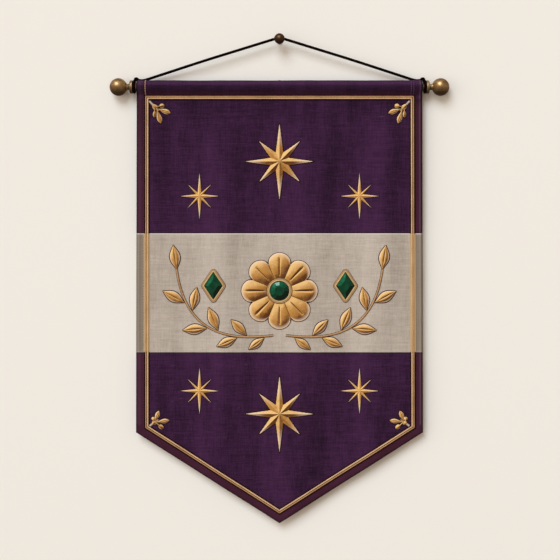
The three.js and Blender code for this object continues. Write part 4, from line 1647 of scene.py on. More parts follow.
@dataclass
class BraidBorder(Assembly):
    """Five lengths of gold braid: two cords on a dark ground, between two threads that are dark painted
    shadow lines over the purple cloth and pale over the pale band.
    """

    top: float = -88.0
    left_inset: Place = (0.5, 1.6)
    width: float = 6.2
    ground_rise: float = 0.7
    cords: tuple[BraidCord, ...] = (
        BraidCord(0.27, 1.0, 3.0, Finish.GOLD_BRAID),
        BraidCord(0.73, 1.35, 5.2, Finish.BRIGHT_BRAID),
        BraidCord(-0.09, 1.0, 3.0, Finish.BRAID_EDGE),
        BraidCord(1.08, 1.0, 3.0, Finish.BRAID_EDGE),
    )
    sunk: float = 0.35
    overlong: float = 3.0
    trim: float = 0.15

    def corners(self, part: float) -> list[Vector]:
        """Corners of a line inside the braid, clockwise from upper left.

        Args:
            part: 0 at the braid's outer edge and 1 at its inner edge.

        Returns:
            The five corners.
        """
        inset = HEM_WIDTH + part * self.width
        top = self.top - part * self.width
        upper = CLOTH.half_width(top) - inset
        lower = CLOTH_HALF_WIDTH + CLOTH_FLARE - inset
        foot = CLOTH.lower_edge(lower, inset)
        tip = CLOTH.lower_edge(0, inset)
        above, below = self.left_inset
        places = [(above - upper, top), (upper, top), (lower, foot), (0.0, tip), (below - lower, foot)]
        return [Vector((x, 0, z)) for x, z in places]

    def build(self) -> None:
        """Makes the five lengths."""
        names = ("top", "right", "point_right", "point_left", "left")
        for index, name in enumerate(names):
            self.length_of_braid(f"braid_{name}", index)

    def length_of_braid(self, node: str, index: int) -> None:
        """Makes one length, mitred at both ends.

        Args:
            node: the solid that it stands for.
            index: its place in the border.
        """
        after = (index + 1) % 5
        outer, inner = self.corners(0.0), self.corners(1.0)

        def line(part: float) -> tuple[Vector, Vector]:
            """The ends of a line inside this length."""
            places = self.corners(part)
            return places[index], places[after]

        def strip(across: float, along: float) -> Vector:
            """Where the net of the braid's ground goes, rounded across."""
            start, end = line(across)
            rounding = math.sin(math.pi * across) ** 0.5
            return start.lerp(end, along) + FRONT * (self.ground_rise * (0.4 + 0.6 * rounding))

        length = (outer[after] - outer[index]).length
        ground = Workbench.net("ground", 4, round(length / 3), strip)
        Workbench.cut_map(ground, lambda net, _: (net[0] * self.width, net[1] * length))
        made = [self.wardrobe.dress(Workbench.backed(ground), Finish.BRAID_GROUND)]
        for cord in self.cords:
            start, end = line(cord.part)
            beyond = (end - start).normalized() * self.overlong
            ground_rise = 0.0 if cord.finish is Finish.BRAID_EDGE else self.ground_rise
            lift = FRONT * (cord.radius * self.sunk + ground_rise)
            route = Route([start - beyond + lift, end + beyond + lift], facing=FRONT)
            twist = Twist(2, cord.pitch, 0.3, 0.8)
            made.append(self.corded(cord.finish, route, cord.radius, twist, 8, cord.pitch / 7))
        piece = Workbench.joined(node.replace("braid", "gold_braid"), made)
        for corner, way in ((index, -1), (after, 1)):
            mitre = (inner[corner] - outer[corner]).cross(FRONT).normalized()
            run = (outer[after] - outer[index]).normalized()
            mitre = mitre * (way if mitre.dot(run) > 0 else -way)
            Workbench.trimmed(piece, outer[corner] - mitre * self.trim, mitre)
        handed_in(Workbench.finished(Workbench.draped(piece), ROPE_CREASE), Finish.GOLD_BRAID, node)


@dataclass(frozen=True)
class StarShape:
    """Reaches and heights of an eight-pointed star."""

    upright: float
    level: float
    slanting: float
    notch: float
    notch_turn: float
    padding: float
    outline: float
    glow: float
    cuts: int


@dataclass
class Stars(Assembly):
    """Two large and four small satin stars, each ray folded along its middle."""

    large: StarShape = StarShape(61.5, 55.2, 46.8, 15.6, 22.5, 4.3, 1.15, 0.0, 7)
    small: StarShape = StarShape(35.9, 29.9, 26.0, 6.2, 28.0, 3.0, 0.95, 0.3, 5)
    edge: float = 0.8
    bright_tip: float = 0.9
    tip_start: float = 0.4
    thread_slant: float = 0.5
    places: tuple[tuple[str, float, float, StarShape], ...] = (
        ("large_star_upper", 0.0, -192.2, large),
        ("large_star_lower", 0.0, -589.7, large),
        ("small_star_upper_left", -126.0, -246.7, small),
        ("small_star_upper_right", 126.0, -246.7, small),
        ("small_star_lower_left", -126.0, -553.5, small),
        ("small_star_lower_right", 126.0, -553.5, small),
    )

    def build(self) -> None:
        """Makes the six stars."""
        for node, x, z, shape in self.places:
            self.star(node, Vector((x, 0, z)), shape)

    def corner(self, shape: StarShape, eighth: int) -> Vector:
        """A corner of a star.

        Args:
            shape: the star.
            eighth: the corner's number; even ones are tips and odd ones notches.

        Returns:
            The corner, from the star's middle.
        """
        if eighth % 2 == 0:
            reach = (shape.level, shape.slanting, shape.upright, shape.slanting)[eighth // 2 % 4]
            degrees = eighth * 22.5
        else:
            reach = shape.notch
            after_straight = (eighth - 1) % 4 == 0
            degrees = (eighth - 1) * 22.5 + (shape.notch_turn if after_straight else 45 - shape.notch_turn)
        angle = math.radians(degrees)
        return Vector((reach * math.cos(angle), -self.edge, reach * math.sin(angle)))

    def star(self, node: str, middle: Vector, shape: StarShape) -> None:
        """Makes one star.

        Args:
            node: the solid that it stands for.
            middle: its place on the flat cloth.
            shape: its shape.
        """
        Workbench.clear()
        bpy.ops.mesh.primitive_circle_add(vertices=16, radius=1, fill_type="TRIFAN")
        face = Workbench.started("face")
        for vertex in face.data.vertices:
            if vertex.co.length < 0.5:
                vertex.co = Vector((0, -shape.padding, 0))
            else:
                eighth = round(math.degrees(math.atan2(vertex.co.y, vertex.co.x)) / 22.5) % 16
                vertex.co = self.corner(shape, eighth)
        Workbench.edit(face)
        bpy.ops.mesh.subdivide(number_cuts=shape.cuts)
        Workbench.clear()
        self.thread_map(face)

        def rim(place: Vector) -> float:
            """How bright a place is towards the tips."""
            tip = shape.slanting
            return smooth_step(math.hypot(place.x, place.z), self.tip_start * tip, tip) * self.bright_tip

        Workbench.with_painted_light(face, rim, shape.glow)
        face = self.wardrobe.dress(Workbench.backed(face), Finish.GOLD_SATIN)
        ring = [self.corner(shape, eighth) for eighth in range(16)]
        route = Route([Vector((p.x, -0.1, p.z)) for p in ring], True, FRONT)
        edge = self.corded(Finish.OUTLINE, route, shape.outline, step=1.2)
        name = node.replace("star", "satin_star")
        self.sewn_on(name, [face, edge], STAR_CREASE, Finish.GOLD_SATIN, node, middle)

    def thread_map(self, face: Object) -> None:
        """Lays the threads across each half ray, slanting off its fold."""
        layer = face.data.uv_layers["UVMap"].data
        for polygon in face.data.polygons:
            middle = polygon.center
            ray = round(math.degrees(math.atan2(middle.z, middle.x)) / 45) * math.pi / 4
            out = Vector((math.cos(ray), 0, math.sin(ray)))
            side = Vector((-out.z, 0, out.x))
            way = 1 if middle.dot(side) > 0 else -1
            for index in polygon.loop_indices:
                point = face.data.vertices[face.data.loops[index].vertex_index].co
                along, across = point.dot(out), way * point.dot(side)
                layer[index].uv = (across * MM, (along + self.thread_slant * across) * MM)


@dataclass(frozen=True)
class LeafShape:
    """How a leaf swells along its length, and how high it is padded."""

    skew: float
    fullness: float
    padding: float = 2.5
    edge: float = 0.7
    blunt_end: float = 0.35
    outline: float = 0.8
    rows: int = 14
    head: float = 0.0

    def half_width(self, part: float, widest: float) -> float:
        """Half the width at a part of the length, of a leaf or of a bud with a round head on a stalk."""
        if self.head:
            away = 2 * (part - 1) / self.head + 1
            return self.blunt_end + widest * math.sqrt(max(1 - away**2, 0.0))
        swell = max(math.sin(math.pi * part**self.skew), 0.0) ** self.fullness
        return self.blunt_end + widest * swell


@dataclass
class Needlework(Assembly):
    """Leaves and stems that the sprigs and the middle ornament share."""

    leaf_columns: int = 10
    thread_slant: float = 0.6
    bright_rim: Place = (0.62, 0.95)
    vein_groove: Band = Band(0.0, 0.16, 0.45)
    vein_stops: tuple[Place, ...] = ((0.08, 0.75), (0.5, 1.0), (0.84, 0.8))
    vein_height: float = 0.72
    vein_radius: float = 0.32
    couched: float = 0.6
    stem_twist: Twist = Twist(3, 6.0, 0.25, 0.9)
    shadow_twist: Twist = Twist(2, 3.0, 0.1, 0.25)
    shadow_width: float = 0.55

    def leaf(
        self, base: Vector, tip: Vector, widest: float, shape: LeafShape, vein: bool = True
    ) -> list[Object]:
        """Makes a padded leaf with its outline and vein.

        Args:
            base: where it grows.
            tip: where it ends.
            widest: half its greatest width.
            shape: how it swells.
            vein: whether a dark vein runs along it.

        Returns:
            The leaf's pieces, still flat.
        """
        run = tip - base
        side = run.normalized().cross(FRONT)

        def place(across: float, along: float) -> Vector:
            """Where the net goes, domed across and along."""
            share = 2 * across - 1
            width = shape.half_width(along, widest)
            dome = (1 - abs(share) ** 2.2) * math.sin(math.pi * min(max(along, 0.04), 0.96)) ** 0.4
            groove = self.vein_groove.at(share) if vein else 0.0
            height = shape.edge + (shape.padding - shape.edge) * dome * (1 - groove * dome)
            return base + run * along + side * (share * width) + FRONT * height

        def threads(net: Place, _: Vector) -> Place:
            """The place on the cut, with the threads slanting off the vein."""
            away = abs(net[0] - 0.5) * 2 * widest
            return away, net[1] * run.length - self.thread_slant * away

        def rim(point: Vector) -> float:
            """How near a point is to the leaf's bright rim."""
            offset = point - base
            along = min(max(offset.dot(run) / run.length_squared, 0.0), 1.0)
            share = abs(offset.dot(side)) / shape.half_width(along, widest)
            return smooth_step(share, *self.bright_rim)

        body = Workbench.net("leaf", self.leaf_columns, shape.rows, place)
        Workbench.with_painted_light(Workbench.cut_map(body, threads), rim)
        made = [self.wardrobe.dress(Workbench.backed(body), Finish.GOLD_SATIN)]
        steps = [i / (1.5 * shape.rows) for i in range(round(1.5 * shape.rows) + 1)]
        there = [base + run * p + side * shape.half_width(p, widest) for p in steps]
        back = [base + run * p - side * shape.half_width(p, widest) for p in reversed(steps)]
        outline = Route([point + FRONT * 0.25 for point in there + back], True, FRONT)
        made.append(self.corded(Finish.OUTLINE, outline, shape.outline))
        if vein:
            height = FRONT * (shape.padding * self.vein_height)
            stops = [base + run * part + height * share for part, share in self.vein_stops]
            line = Route(stops, facing=FRONT)
            made.append(self.corded(Finish.OUTLINE, line, self.vein_radius, sides=5, step=1.2))
        return made

    def stem(self, route: Route, radius: float) -> list[Object]:
        """Makes a couched gold cord over a wider dark cord, which shows on each side as its painted shadow.

        Args:
            route: its way on the flat cloth.
            radius: the gold cord's radius.

        Returns:
            The stem's pieces, still flat.
        """
        # The wider dark cord beneath is the stem's painted shadow.
        over, shade_under = route.raised(radius * self.couched), route.raised(0.2)
        return [
            self.corded(Finish.GOLD_BRAID, over, radius, self.stem_twist, 10, 0.8),
            self.corded(Finish.OUTLINE, shade_under, radius + self.shadow_width, self.shadow_twist, 8, 1.2),
        ]


class Growth(Enum):
    """What can grow on a sprig, with its shape and half its greatest width."""

    LEAF = (LeafShape(1.8, 1.0, 2.2, 0.7, 0.3, 0.95), 3.9)
    BALL = (LeafShape(1.0, 1.0, 2.6, 0.6, 0.9, 0.85, 30, 0.5), 2.9)
    BUD = (LeafShape(1.0, 1.0, 2.6, 0.6, 0.8, 0.85, 30, 0.56), 2.0)
    CUP = (LeafShape(1.9, 0.8, 2.4, 0.6, 0.7, 0.85), 3.4)


@dataclass(frozen=True)
class Shoot:
    """A leaf or bud of a sprig: its start and reach from the root, and its turn in degrees."""

    kind: Growth
    near: float
    far: float
    turn: float


@dataclass(frozen=True)
class Corner:
    """A corner's sprigs: how far out and how low they are rooted, their heading, size and growth."""

    label: str
    out: float
    level: float
    heading: float
    scale: float
    growth: tuple[Shoot, ...]


@dataclass
class CornerSprigs(Needlework):
    """A little sprig in each corner: a stem, two leaves and two buds."""

    stem_length: float = 21.0
    stem_radius: float = 1.35
    bound: float = 9.0
    binding: float = 0.3
    binding_twist: Twist = Twist(3, 2.4, 0.12, 0.9)
    corners: tuple[Corner, ...] = (
        Corner("upper", 205.0, -97.0, -46.5, 1.0, (
            Shoot(Growth.LEAF, 16.0, 38.4, 17.0),
            Shoot(Growth.LEAF, 16.0, 39.6, -16.0),
            Shoot(Growth.BALL, 13.0, 24.6, 30.0),
            Shoot(Growth.BUD, 12.5, 26.6, -26.0),
            Shoot(Growth.CUP, 4.0, 17.5, 0.0),
        )),
        Corner("lower", 204.4, -608.6, 36.0, 0.8, (
            Shoot(Growth.LEAF, 11.0, 35.0, 22.0),
            Shoot(Growth.LEAF, 12.0, 40.0, -20.0),
            Shoot(Growth.BALL, 8.0, 19.4, 30.0),
            Shoot(Growth.BALL, 13.0, 27.0, -47.0),
            Shoot(Growth.CUP, 4.0, 14.0, 0.0),
        )),
    )

    def build(self) -> None:
        """Makes the four sprigs."""
        for corner in self.corners:
            for label, side in SIDES:
                self.sprig(corner, f"sprig_{corner.label}_{label}", side)

    def sprig(self, corner: Corner, node: str, side: int) -> None:
        """Makes one sprig.

        Args:
            corner: where it grows, and what grows on it.
            node: the solid that it stands for.
            side: 1 in the right corners and -1 in the left ones.
        """
        root = Vector((side * corner.out, 0, corner.level))

        def reach(degrees: float, distance: float) -> Vector:
            """A place at a turn and a distance from the root."""
            angle = math.radians(corner.heading + degrees)
            return root + Vector((-side * math.cos(angle), 0, math.sin(angle))) * (distance * corner.scale)

        made = []
        for shoot in corner.growth:
            shape, widest = shoot.kind.value
            base, tip = reach(0, shoot.near), reach(shoot.turn, shoot.far)
            made += self.leaf(base, tip, widest * (1 + corner.scale) / 2, shape, shoot.kind is Growth.LEAF)
        made += self.stem(Route([root, reach(0, self.stem_length)], facing=FRONT), self.stem_radius)
        bound = Route([root, reach(0, self.bound)], facing=FRONT).raised(self.stem_radius * self.couched)
        radius = self.stem_radius + self.binding
        made.append(self.corded(Finish.PALE_THREAD, bound, radius, self.binding_twist, 10, 0.8))
        self.sewn_on(f"satin_{node}", made, SATIN_CREASE, Finish.GOLD_SATIN, node)


@dataclass(frozen=True)
class SettingCord:
    """One of the cords round a stone: its distance outside the edge, radius and height."""

    away: float
    radius: float
    raised: float
    twist: Twist
    finish: Finish


def angles(count: int) -> list[float]:
    """Even steps round a circle."""
    return [2 * math.pi * i / count for i in range(count)]


@dataclass
class MiddleOrnament(Needlework):
    """A rosette round a set stone, a leafy spray on each side and two lozenge stones."""

    level: float = -396.0
    petals: int = 8
    radius: float = 60.0
    waist: float = 0.76
    padding: float = 3.2
    edge: float = 0.8
    hole: float = 20.6
    bright_edge: Place = (5.0, 1.0)
    outline: float = 1.15
    petal_groove: Band = Band(0.0, 0.045, 0.4)
    petal_vein: float = 0.45
    veins: tuple[tuple[float, ...], ...] = ((0.0, 0.12, 0.78, 2.3, 0.25), (0.5, 0.02, 0.98, 0.9, 0.0))
    stone_radius: float = 15.0
    stone_height: float = 4.0
    setting: tuple[SettingCord, ...] = (
        SettingCord(1.7, 1.35, 1.5, Twist(2, 4.4, 0.28, 0.95), Finish.PALE_GOLD),
        SettingCord(3.9, 1.15, 1.0, Twist(2, 4.0, 0.28, 0.95), Finish.GOLD_BRAID),
        SettingCord(5.0, 0.5, 0.4, PLAIN_THREAD, Finish.OUTLINE),
        SettingCord(0.35, 0.45, 1.2, PLAIN_THREAD, Finish.OUTLINE),
    )
    lozenge: tuple[float, ...] = (104.0, -388.0, 14.0, 21.0)
    stem_radius: float = 1.5
    stem_guides: tuple[Place, ...] = ((10.0, -466.0), (76.0, -474.0), (148.0, -468.0), (162.0, -362.0))
    stem_steps: int = 60
    leaf_gap: float = 1.25
    end_gap: float = 0.3
    spray_leaf: LeafShape = LeafShape(1.0, 1.15, 2.7, 0.7, 0.35, 1.0)
    slimness: float = 0.21
    leaves: tuple[tuple[float, ...], ...] = (
        (0.07, 1, 30.0, 32.0), (0.2, -1, 34.0, 44.0), (0.27, 1, 34.0, 30.0), (0.42, -1, 38.0, 46.0),
        (0.5, 1, 38.0, 36.0), (0.67, -1, 36.0, 46.0), (0.75, 1, 38.0, 36.0), (1.0, 0, 38.0, 0.0),
    )

    def build(self) -> None:
        """Makes the whole ornament."""
        self.rosette()
        full = self.stone_radius
        round_stone = [(full * math.cos(angle), full * math.sin(angle)) for angle in angles(48)]
        self.set_stone("middle", 0.0, self.level, round_stone, 12, (1.0, 1.0))
        x, z, half_width, half_height = self.lozenge
        outline = [(half_width, 0.0), (0.0, half_height), (-half_width, 0.0), (0.0, -half_height)]
        for label, side in SIDES:
            self.set_stone(label, side * x, z, outline, 4, (half_width / full, half_height / full))
            self.spray(label, side)

    def petal(self, angle: float) -> float:
        """1 on a petal's middle and 0 between two petals."""
        return abs(math.cos(angle * self.petals / 2)) ** 0.6

    def rim_reach(self, angle: float) -> float:
        """Distance of the rosette's rim from its middle."""
        return self.radius * lerp(self.waist, 1, self.petal(angle))

    def rosette(self) -> None:
        """Makes the eight padded petals, their outline and veins."""

        def place(across: float, along: float) -> Vector:
            """Where the net goes, round the stone and out to the rim."""
            angle = 2 * math.pi * across
            reach = lerp(self.hole, self.rim_reach(angle), along)
            dome = math.sin(math.pi * min(max(along, 0.03), 0.97)) ** 0.55
            away = (angle * self.petals / (2 * math.pi) + 0.5) % 1 - 0.5
            groove = self.petal_groove.at(away)
            groove *= smooth_step(along, 0.0, 0.2) * smooth_step(0.9 - along, 0, 0.2)
            height = self.edge + (self.padding - self.edge) * dome * self.petal(angle) ** 0.7 * (1 - groove)
            return Vector((reach * math.cos(angle), -height, reach * math.sin(angle)))

        def threads(net: Place, point: Vector) -> Place:
            """The place on the cut, with the threads slanting off each petal's middle."""
            away = abs((net[0] * self.petals + 0.5) % 1 - 0.5) * 40
            return away, math.hypot(point.x, point.z) - self.thread_slant * away

        def rim(point: Vector) -> float:
            """How near a point is to the bright rim."""
            limit = self.rim_reach(math.atan2(point.z, point.x))
            return smooth_step(math.hypot(point.x, point.z), *(limit - inside for inside in self.bright_edge))

        body = Workbench.net("petals", 192, 12, place)
        Workbench.weld(Workbench.cut_map(body, threads))
        if body.data.polygons[0].normal.y > 0:
            body.data.flip_normals()
        Workbench.with_painted_light(body, rim)
        made = [self.wardrobe.dress(Workbench.backed(body), Finish.GOLD_SATIN)]
        outline = []
        for angle in angles(160):
            reach = self.rim_reach(angle)
            outline.append((reach * math.cos(angle), reach * math.sin(angle)))
        made.append(self.corded(Finish.OUTLINE, flat_route(outline, True).raised(0.4), self.outline))
        for index in range(self.petals):
            for turn, near, far, height, arch in self.veins:
                angle = 2 * math.pi * (index + turn) / self.petals
                out = Vector((math.cos(angle), 0, math.sin(angle)))
                limit = self.rim_reach(angle)
                ends = [out * lerp(self.hole, limit, part) + FRONT * height for part in (near, 0.5, far)]
                ends[1] += FRONT * arch
                made.append(self.corded(Finish.OUTLINE, Route(ends, facing=FRONT), self.petal_vein, step=1.2))
        self.sewn_on("satin_rosette", made, SATIN_CREASE, Finish.GOLD_SATIN, "rosette", (0, 0, self.level))

    def set_stone(
        self, label: str, x: float, z: float, outline: list[Place], sides: int, share: Place
    ) -> None:
        """Makes a cut stone and the twisted cord that holds it.

        Args:
            label: middle, left or right.
            x: its place across.
            z: its level.
            outline: the stone's edge round its middle.
            sides: facets round it.
            share: its width and height against the round stone's.
        """
        height, full = self.stone_height, self.stone_radius
        girdle = [(full - 0.3, 0.0), (full, 0.9), (full - 0.7, 1.5)]
        table = [(full * 0.62, height - 0.25), (full * 0.5, height)]
        stone = Workbench.turned("stone", girdle + table, sides)
        stone.data.transform(Matrix.Rotation(math.radians(90), 4, "X"))
        stone.data.transform(Matrix.Diagonal((share[0], 1, share[1], 1)))
        Workbench.with_painted_light(stone)
        self.wardrobe.dress(stone, Finish.GREEN_STONE)
        stone.data.transform(Matrix.Translation((x, 0, z)))
        Workbench.clear()
        stone.name = f"green_stone_{label}"
        handed_in(Workbench.to_metres(Workbench.draped(stone)), Finish.GREEN_STONE, f"stone_{label}")

        made = []
        for cord in self.setting:
            route = flat_route(self.grown(outline, cord.away), True).raised(cord.raised)
            made.append(self.corded(cord.finish, route, cord.radius, cord.twist, 8, 0.7))
        name, node = f"gold_stone_rim_{label}", f"stone_rim_{label}"
        self.sewn_on(name, made, ROPE_CREASE, Finish.PALE_GOLD, node, (x, 0, z))

    @staticmethod
    def grown(outline: list[Place], away: float) -> list[Place]:
        """Moves an outline outwards, rounding its corners.

        Args:
            outline: the edge, anticlockwise, round its middle.
            away: how far it moves.

        Returns:
            The new edge.
        """
        grown = []
        count = len(outline)
        for index, (x, z) in enumerate(outline):
            before, after = outline[index - 1], outline[(index + 1) % count]
            start = math.atan2(before[0] - x, z - before[1])
            end = math.atan2(x - after[0], after[1] - z)
            sweep = (end - start + math.pi) % (2 * math.pi) - math.pi
            steps = 6 if abs(sweep) > 0.5 else 1
            for step in range(steps + 1):
                angle = start + sweep * step / steps
                grown.append((x + away * math.cos(angle), z + away * math.sin(angle)))
        return grown

    def spray(self, label: str, side: int) -> None:
        """Makes one spray: its stem and eight leaves.

        Args:
            label: left or right.
            side: -1 or 1.
        """
        steps = self.stem_steps
        route = flat_route([self.stem_place(side, i / steps) for i in range(steps + 1)])
        stem = self.stem(route, self.stem_radius)
        self.sewn_on(f"gold_stem_{label}", stem, ROPE_CREASE, Finish.GOLD_SATIN, f"spray_stem_{label}")
        for index, (along, branch, length, spread) in enumerate(self.leaves):
            far = along * route.length
            here = route.at(far)
            heading = (route.at(far + 0.5) - route.at(far - 0.5)).normalized()
            turn = -side * branch
            out = heading if branch == 0 else Vector((-turn * heading.z, 0, turn * heading.x))
            clear = self.end_gap if branch == 0 else self.stem_radius + self.leaf_gap
            angle = turn * math.radians(spread)
            way = Vector((
                heading.x * math.cos(angle) - heading.z * math.sin(angle),
                0,
                heading.x * math.sin(angle) + heading.z * math.cos(angle),
            ))
            base = here + out * clear
            made = self.leaf(base, base + way * length, length * self.slimness, self.spray_leaf)
            number = f"leaf_{label}_{index + 1}"
            self.sewn_on(f"satin_{number}", made, SATIN_CREASE, Finish.GOLD_SATIN, f"spray_{number}")

    def stem_place(self, side: int, part: float) -> Place:
        """A place on a spray's stem, a cubic curve through its four guides."""
        weights = ((1 - part) ** 3, 3 * part * (1 - part) ** 2, 3 * part**2 * (1 - part), part**3)
        x = sum(weight * guide[0] for weight, guide in zip(weights, self.stem_guides))
        z = sum(weight * guide[1] for weight, guide in zip(weights, self.stem_guides))
        return side * x, z


@dataclass
class RodAndPeg(Assembly):
    """The dowel in the pocket, its brass finials and the peg on the wall."""

    collar_start: float = 231.6
    collar_end: float = 237.4
    ball_centre: float = 254.0
    ball_radius: float = 13.8
    peg_shank: float = 0.9
    knob_radius: float = 8.3
    knob_centre: float = 24.5
    collar: tuple[Place, ...] = (
        (6.4, 0.0), (9.6, 0.0), (10.4, 0.4), (10.7, 1.0), (10.6, 1.6), (9.7, 2.0), (9.5, 2.3),
        (10.2, 2.6), (10.4, 3.1), (10.0, 3.8), (9.0, 4.5), (7.2, 5.0), (5.2, 5.3),
    )
    neck: tuple[Place, ...] = (
        (4.4, 0.0), (4.9, 0.6), (5.1, 1.2), (4.7, 1.9), (4.3, 2.3), (4.5, 2.7), (5.1, 2.9),
    )
    ball_opening: float = 5.4
    knob_opening: float = 2.2
    # Radii over which the collar and the neck go from dark grooves to a painted highlight.
    collar_highlight: Place = (8.6, 10.6)
    neck_highlight: Place = (4.2, 5.2)

    def build(self) -> None:
        """Makes the dowel, both finials and the peg."""
        end = self.collar_start - 0.3
        half = [(8.5, 223.0), (7.6, 224.0), (6.0, 224.4), (6.0, end - 0.6), (5.4, end)]
        profile = [(radius, -along) for radius, along in reversed(half)] + half
        rod = Workbench.turned("hanging_dowel", profile, 48)
        self.fit_on_rod(rod, 1)
        self.complete(rod, Finish.ROD_WOOD, TURNED_CREASE, "hanging_rod")
        for label, side in SIDES:
            ball = self.lit_and_marked(Workbench.turned(f"brass_finial_{label}", self.finial_profile(), 64))
            self.fit_on_rod(ball, side)
            self.complete(ball, Finish.AGED_BRASS, TURNED_CREASE, f"finial_{label}")
        peg = Workbench.turned("bronze_peg", self.peg_profile(), 48)
        Workbench.stored(peg, "light_and_marks", [0.5] * len(peg.data.vertices))
        peg.data.transform(Matrix.Rotation(math.radians(90), 4, "X"))
        self.complete(peg, Finish.DARK_BRONZE, TURNED_CREASE, "wall_peg")

    def lit_and_marked(self, piece: Object) -> Object:
        """Stores a painted highlight on a finial's ridges, and where it is dark, in its grooves."""
        light_and_marks = []
        for vertex in piece.data.vertices:
            radius, along = math.hypot(vertex.co.x, vertex.co.y), vertex.co.z
            if along < self.collar_end:
                light_and_marks.append(smooth_step(radius, *self.collar_highlight))
            elif along < self.collar_end + self.neck[-1][1]:
                light_and_marks.append(smooth_step(radius, *self.neck_highlight))
            else:
                light_and_marks.append(0.5)
        return Workbench.stored(piece, "light_and_marks", light_and_marks)

    @staticmethod
    def fit_on_rod(piece: Object, side: int) -> None:
        """Lays a piece that was turned upright along the rod."""
        piece.data.transform(Matrix.Rotation(math.radians(90 * side), 4, "Y"))
        piece.data.transform(Matrix.Translation((0, -ROD_DEPTH, ROD_LEVEL)))

    @staticmethod
    def ball(radius: float, centre: float, opening: float, last: float, steps: int) -> list[Place]:
        """Rounds a ball off the neck that carries it.

        Args:
            radius: the ball's radius.
            centre: its middle's distance.
            opening: the neck's radius.
            last: degrees from its waist to where it ends.
            steps: stretches between its rings.

        Returns:
            Radius and distance of each ring.
        """
        first, last = -math.acos(opening / radius), math.radians(last)
        rings = [lerp(first, last, step / steps) for step in range(steps + 1)]
        return [(radius * math.cos(angle), centre + radius * math.sin(angle)) for angle in rings]

    def finial_profile(self) -> list[Place]:
        """Radius and distance of each step of a finial, from the collar's face to the ball's end."""
        collar = [(radius, self.collar_start + along) for radius, along in self.collar]
        neck = [(radius, self.collar_end + along) for radius, along in self.neck]
        return collar + neck + self.ball(self.ball_radius, self.ball_centre, self.ball_opening, 88.5, 28)

    def peg_profile(self) -> list[Place]:
        """Radius and distance from the wall of each step of the peg."""
        foot = [(4.3, 0.0), (4.5, 0.4), (4.3, 1.0), (3.6, 1.4), (2.2, 1.8)]
        shank = [(self.peg_shank, 2.4), (self.peg_shank, 16.2)]
        return foot + shank + self.ball(self.knob_radius, self.knob_centre, self.knob_opening, 88, 20)


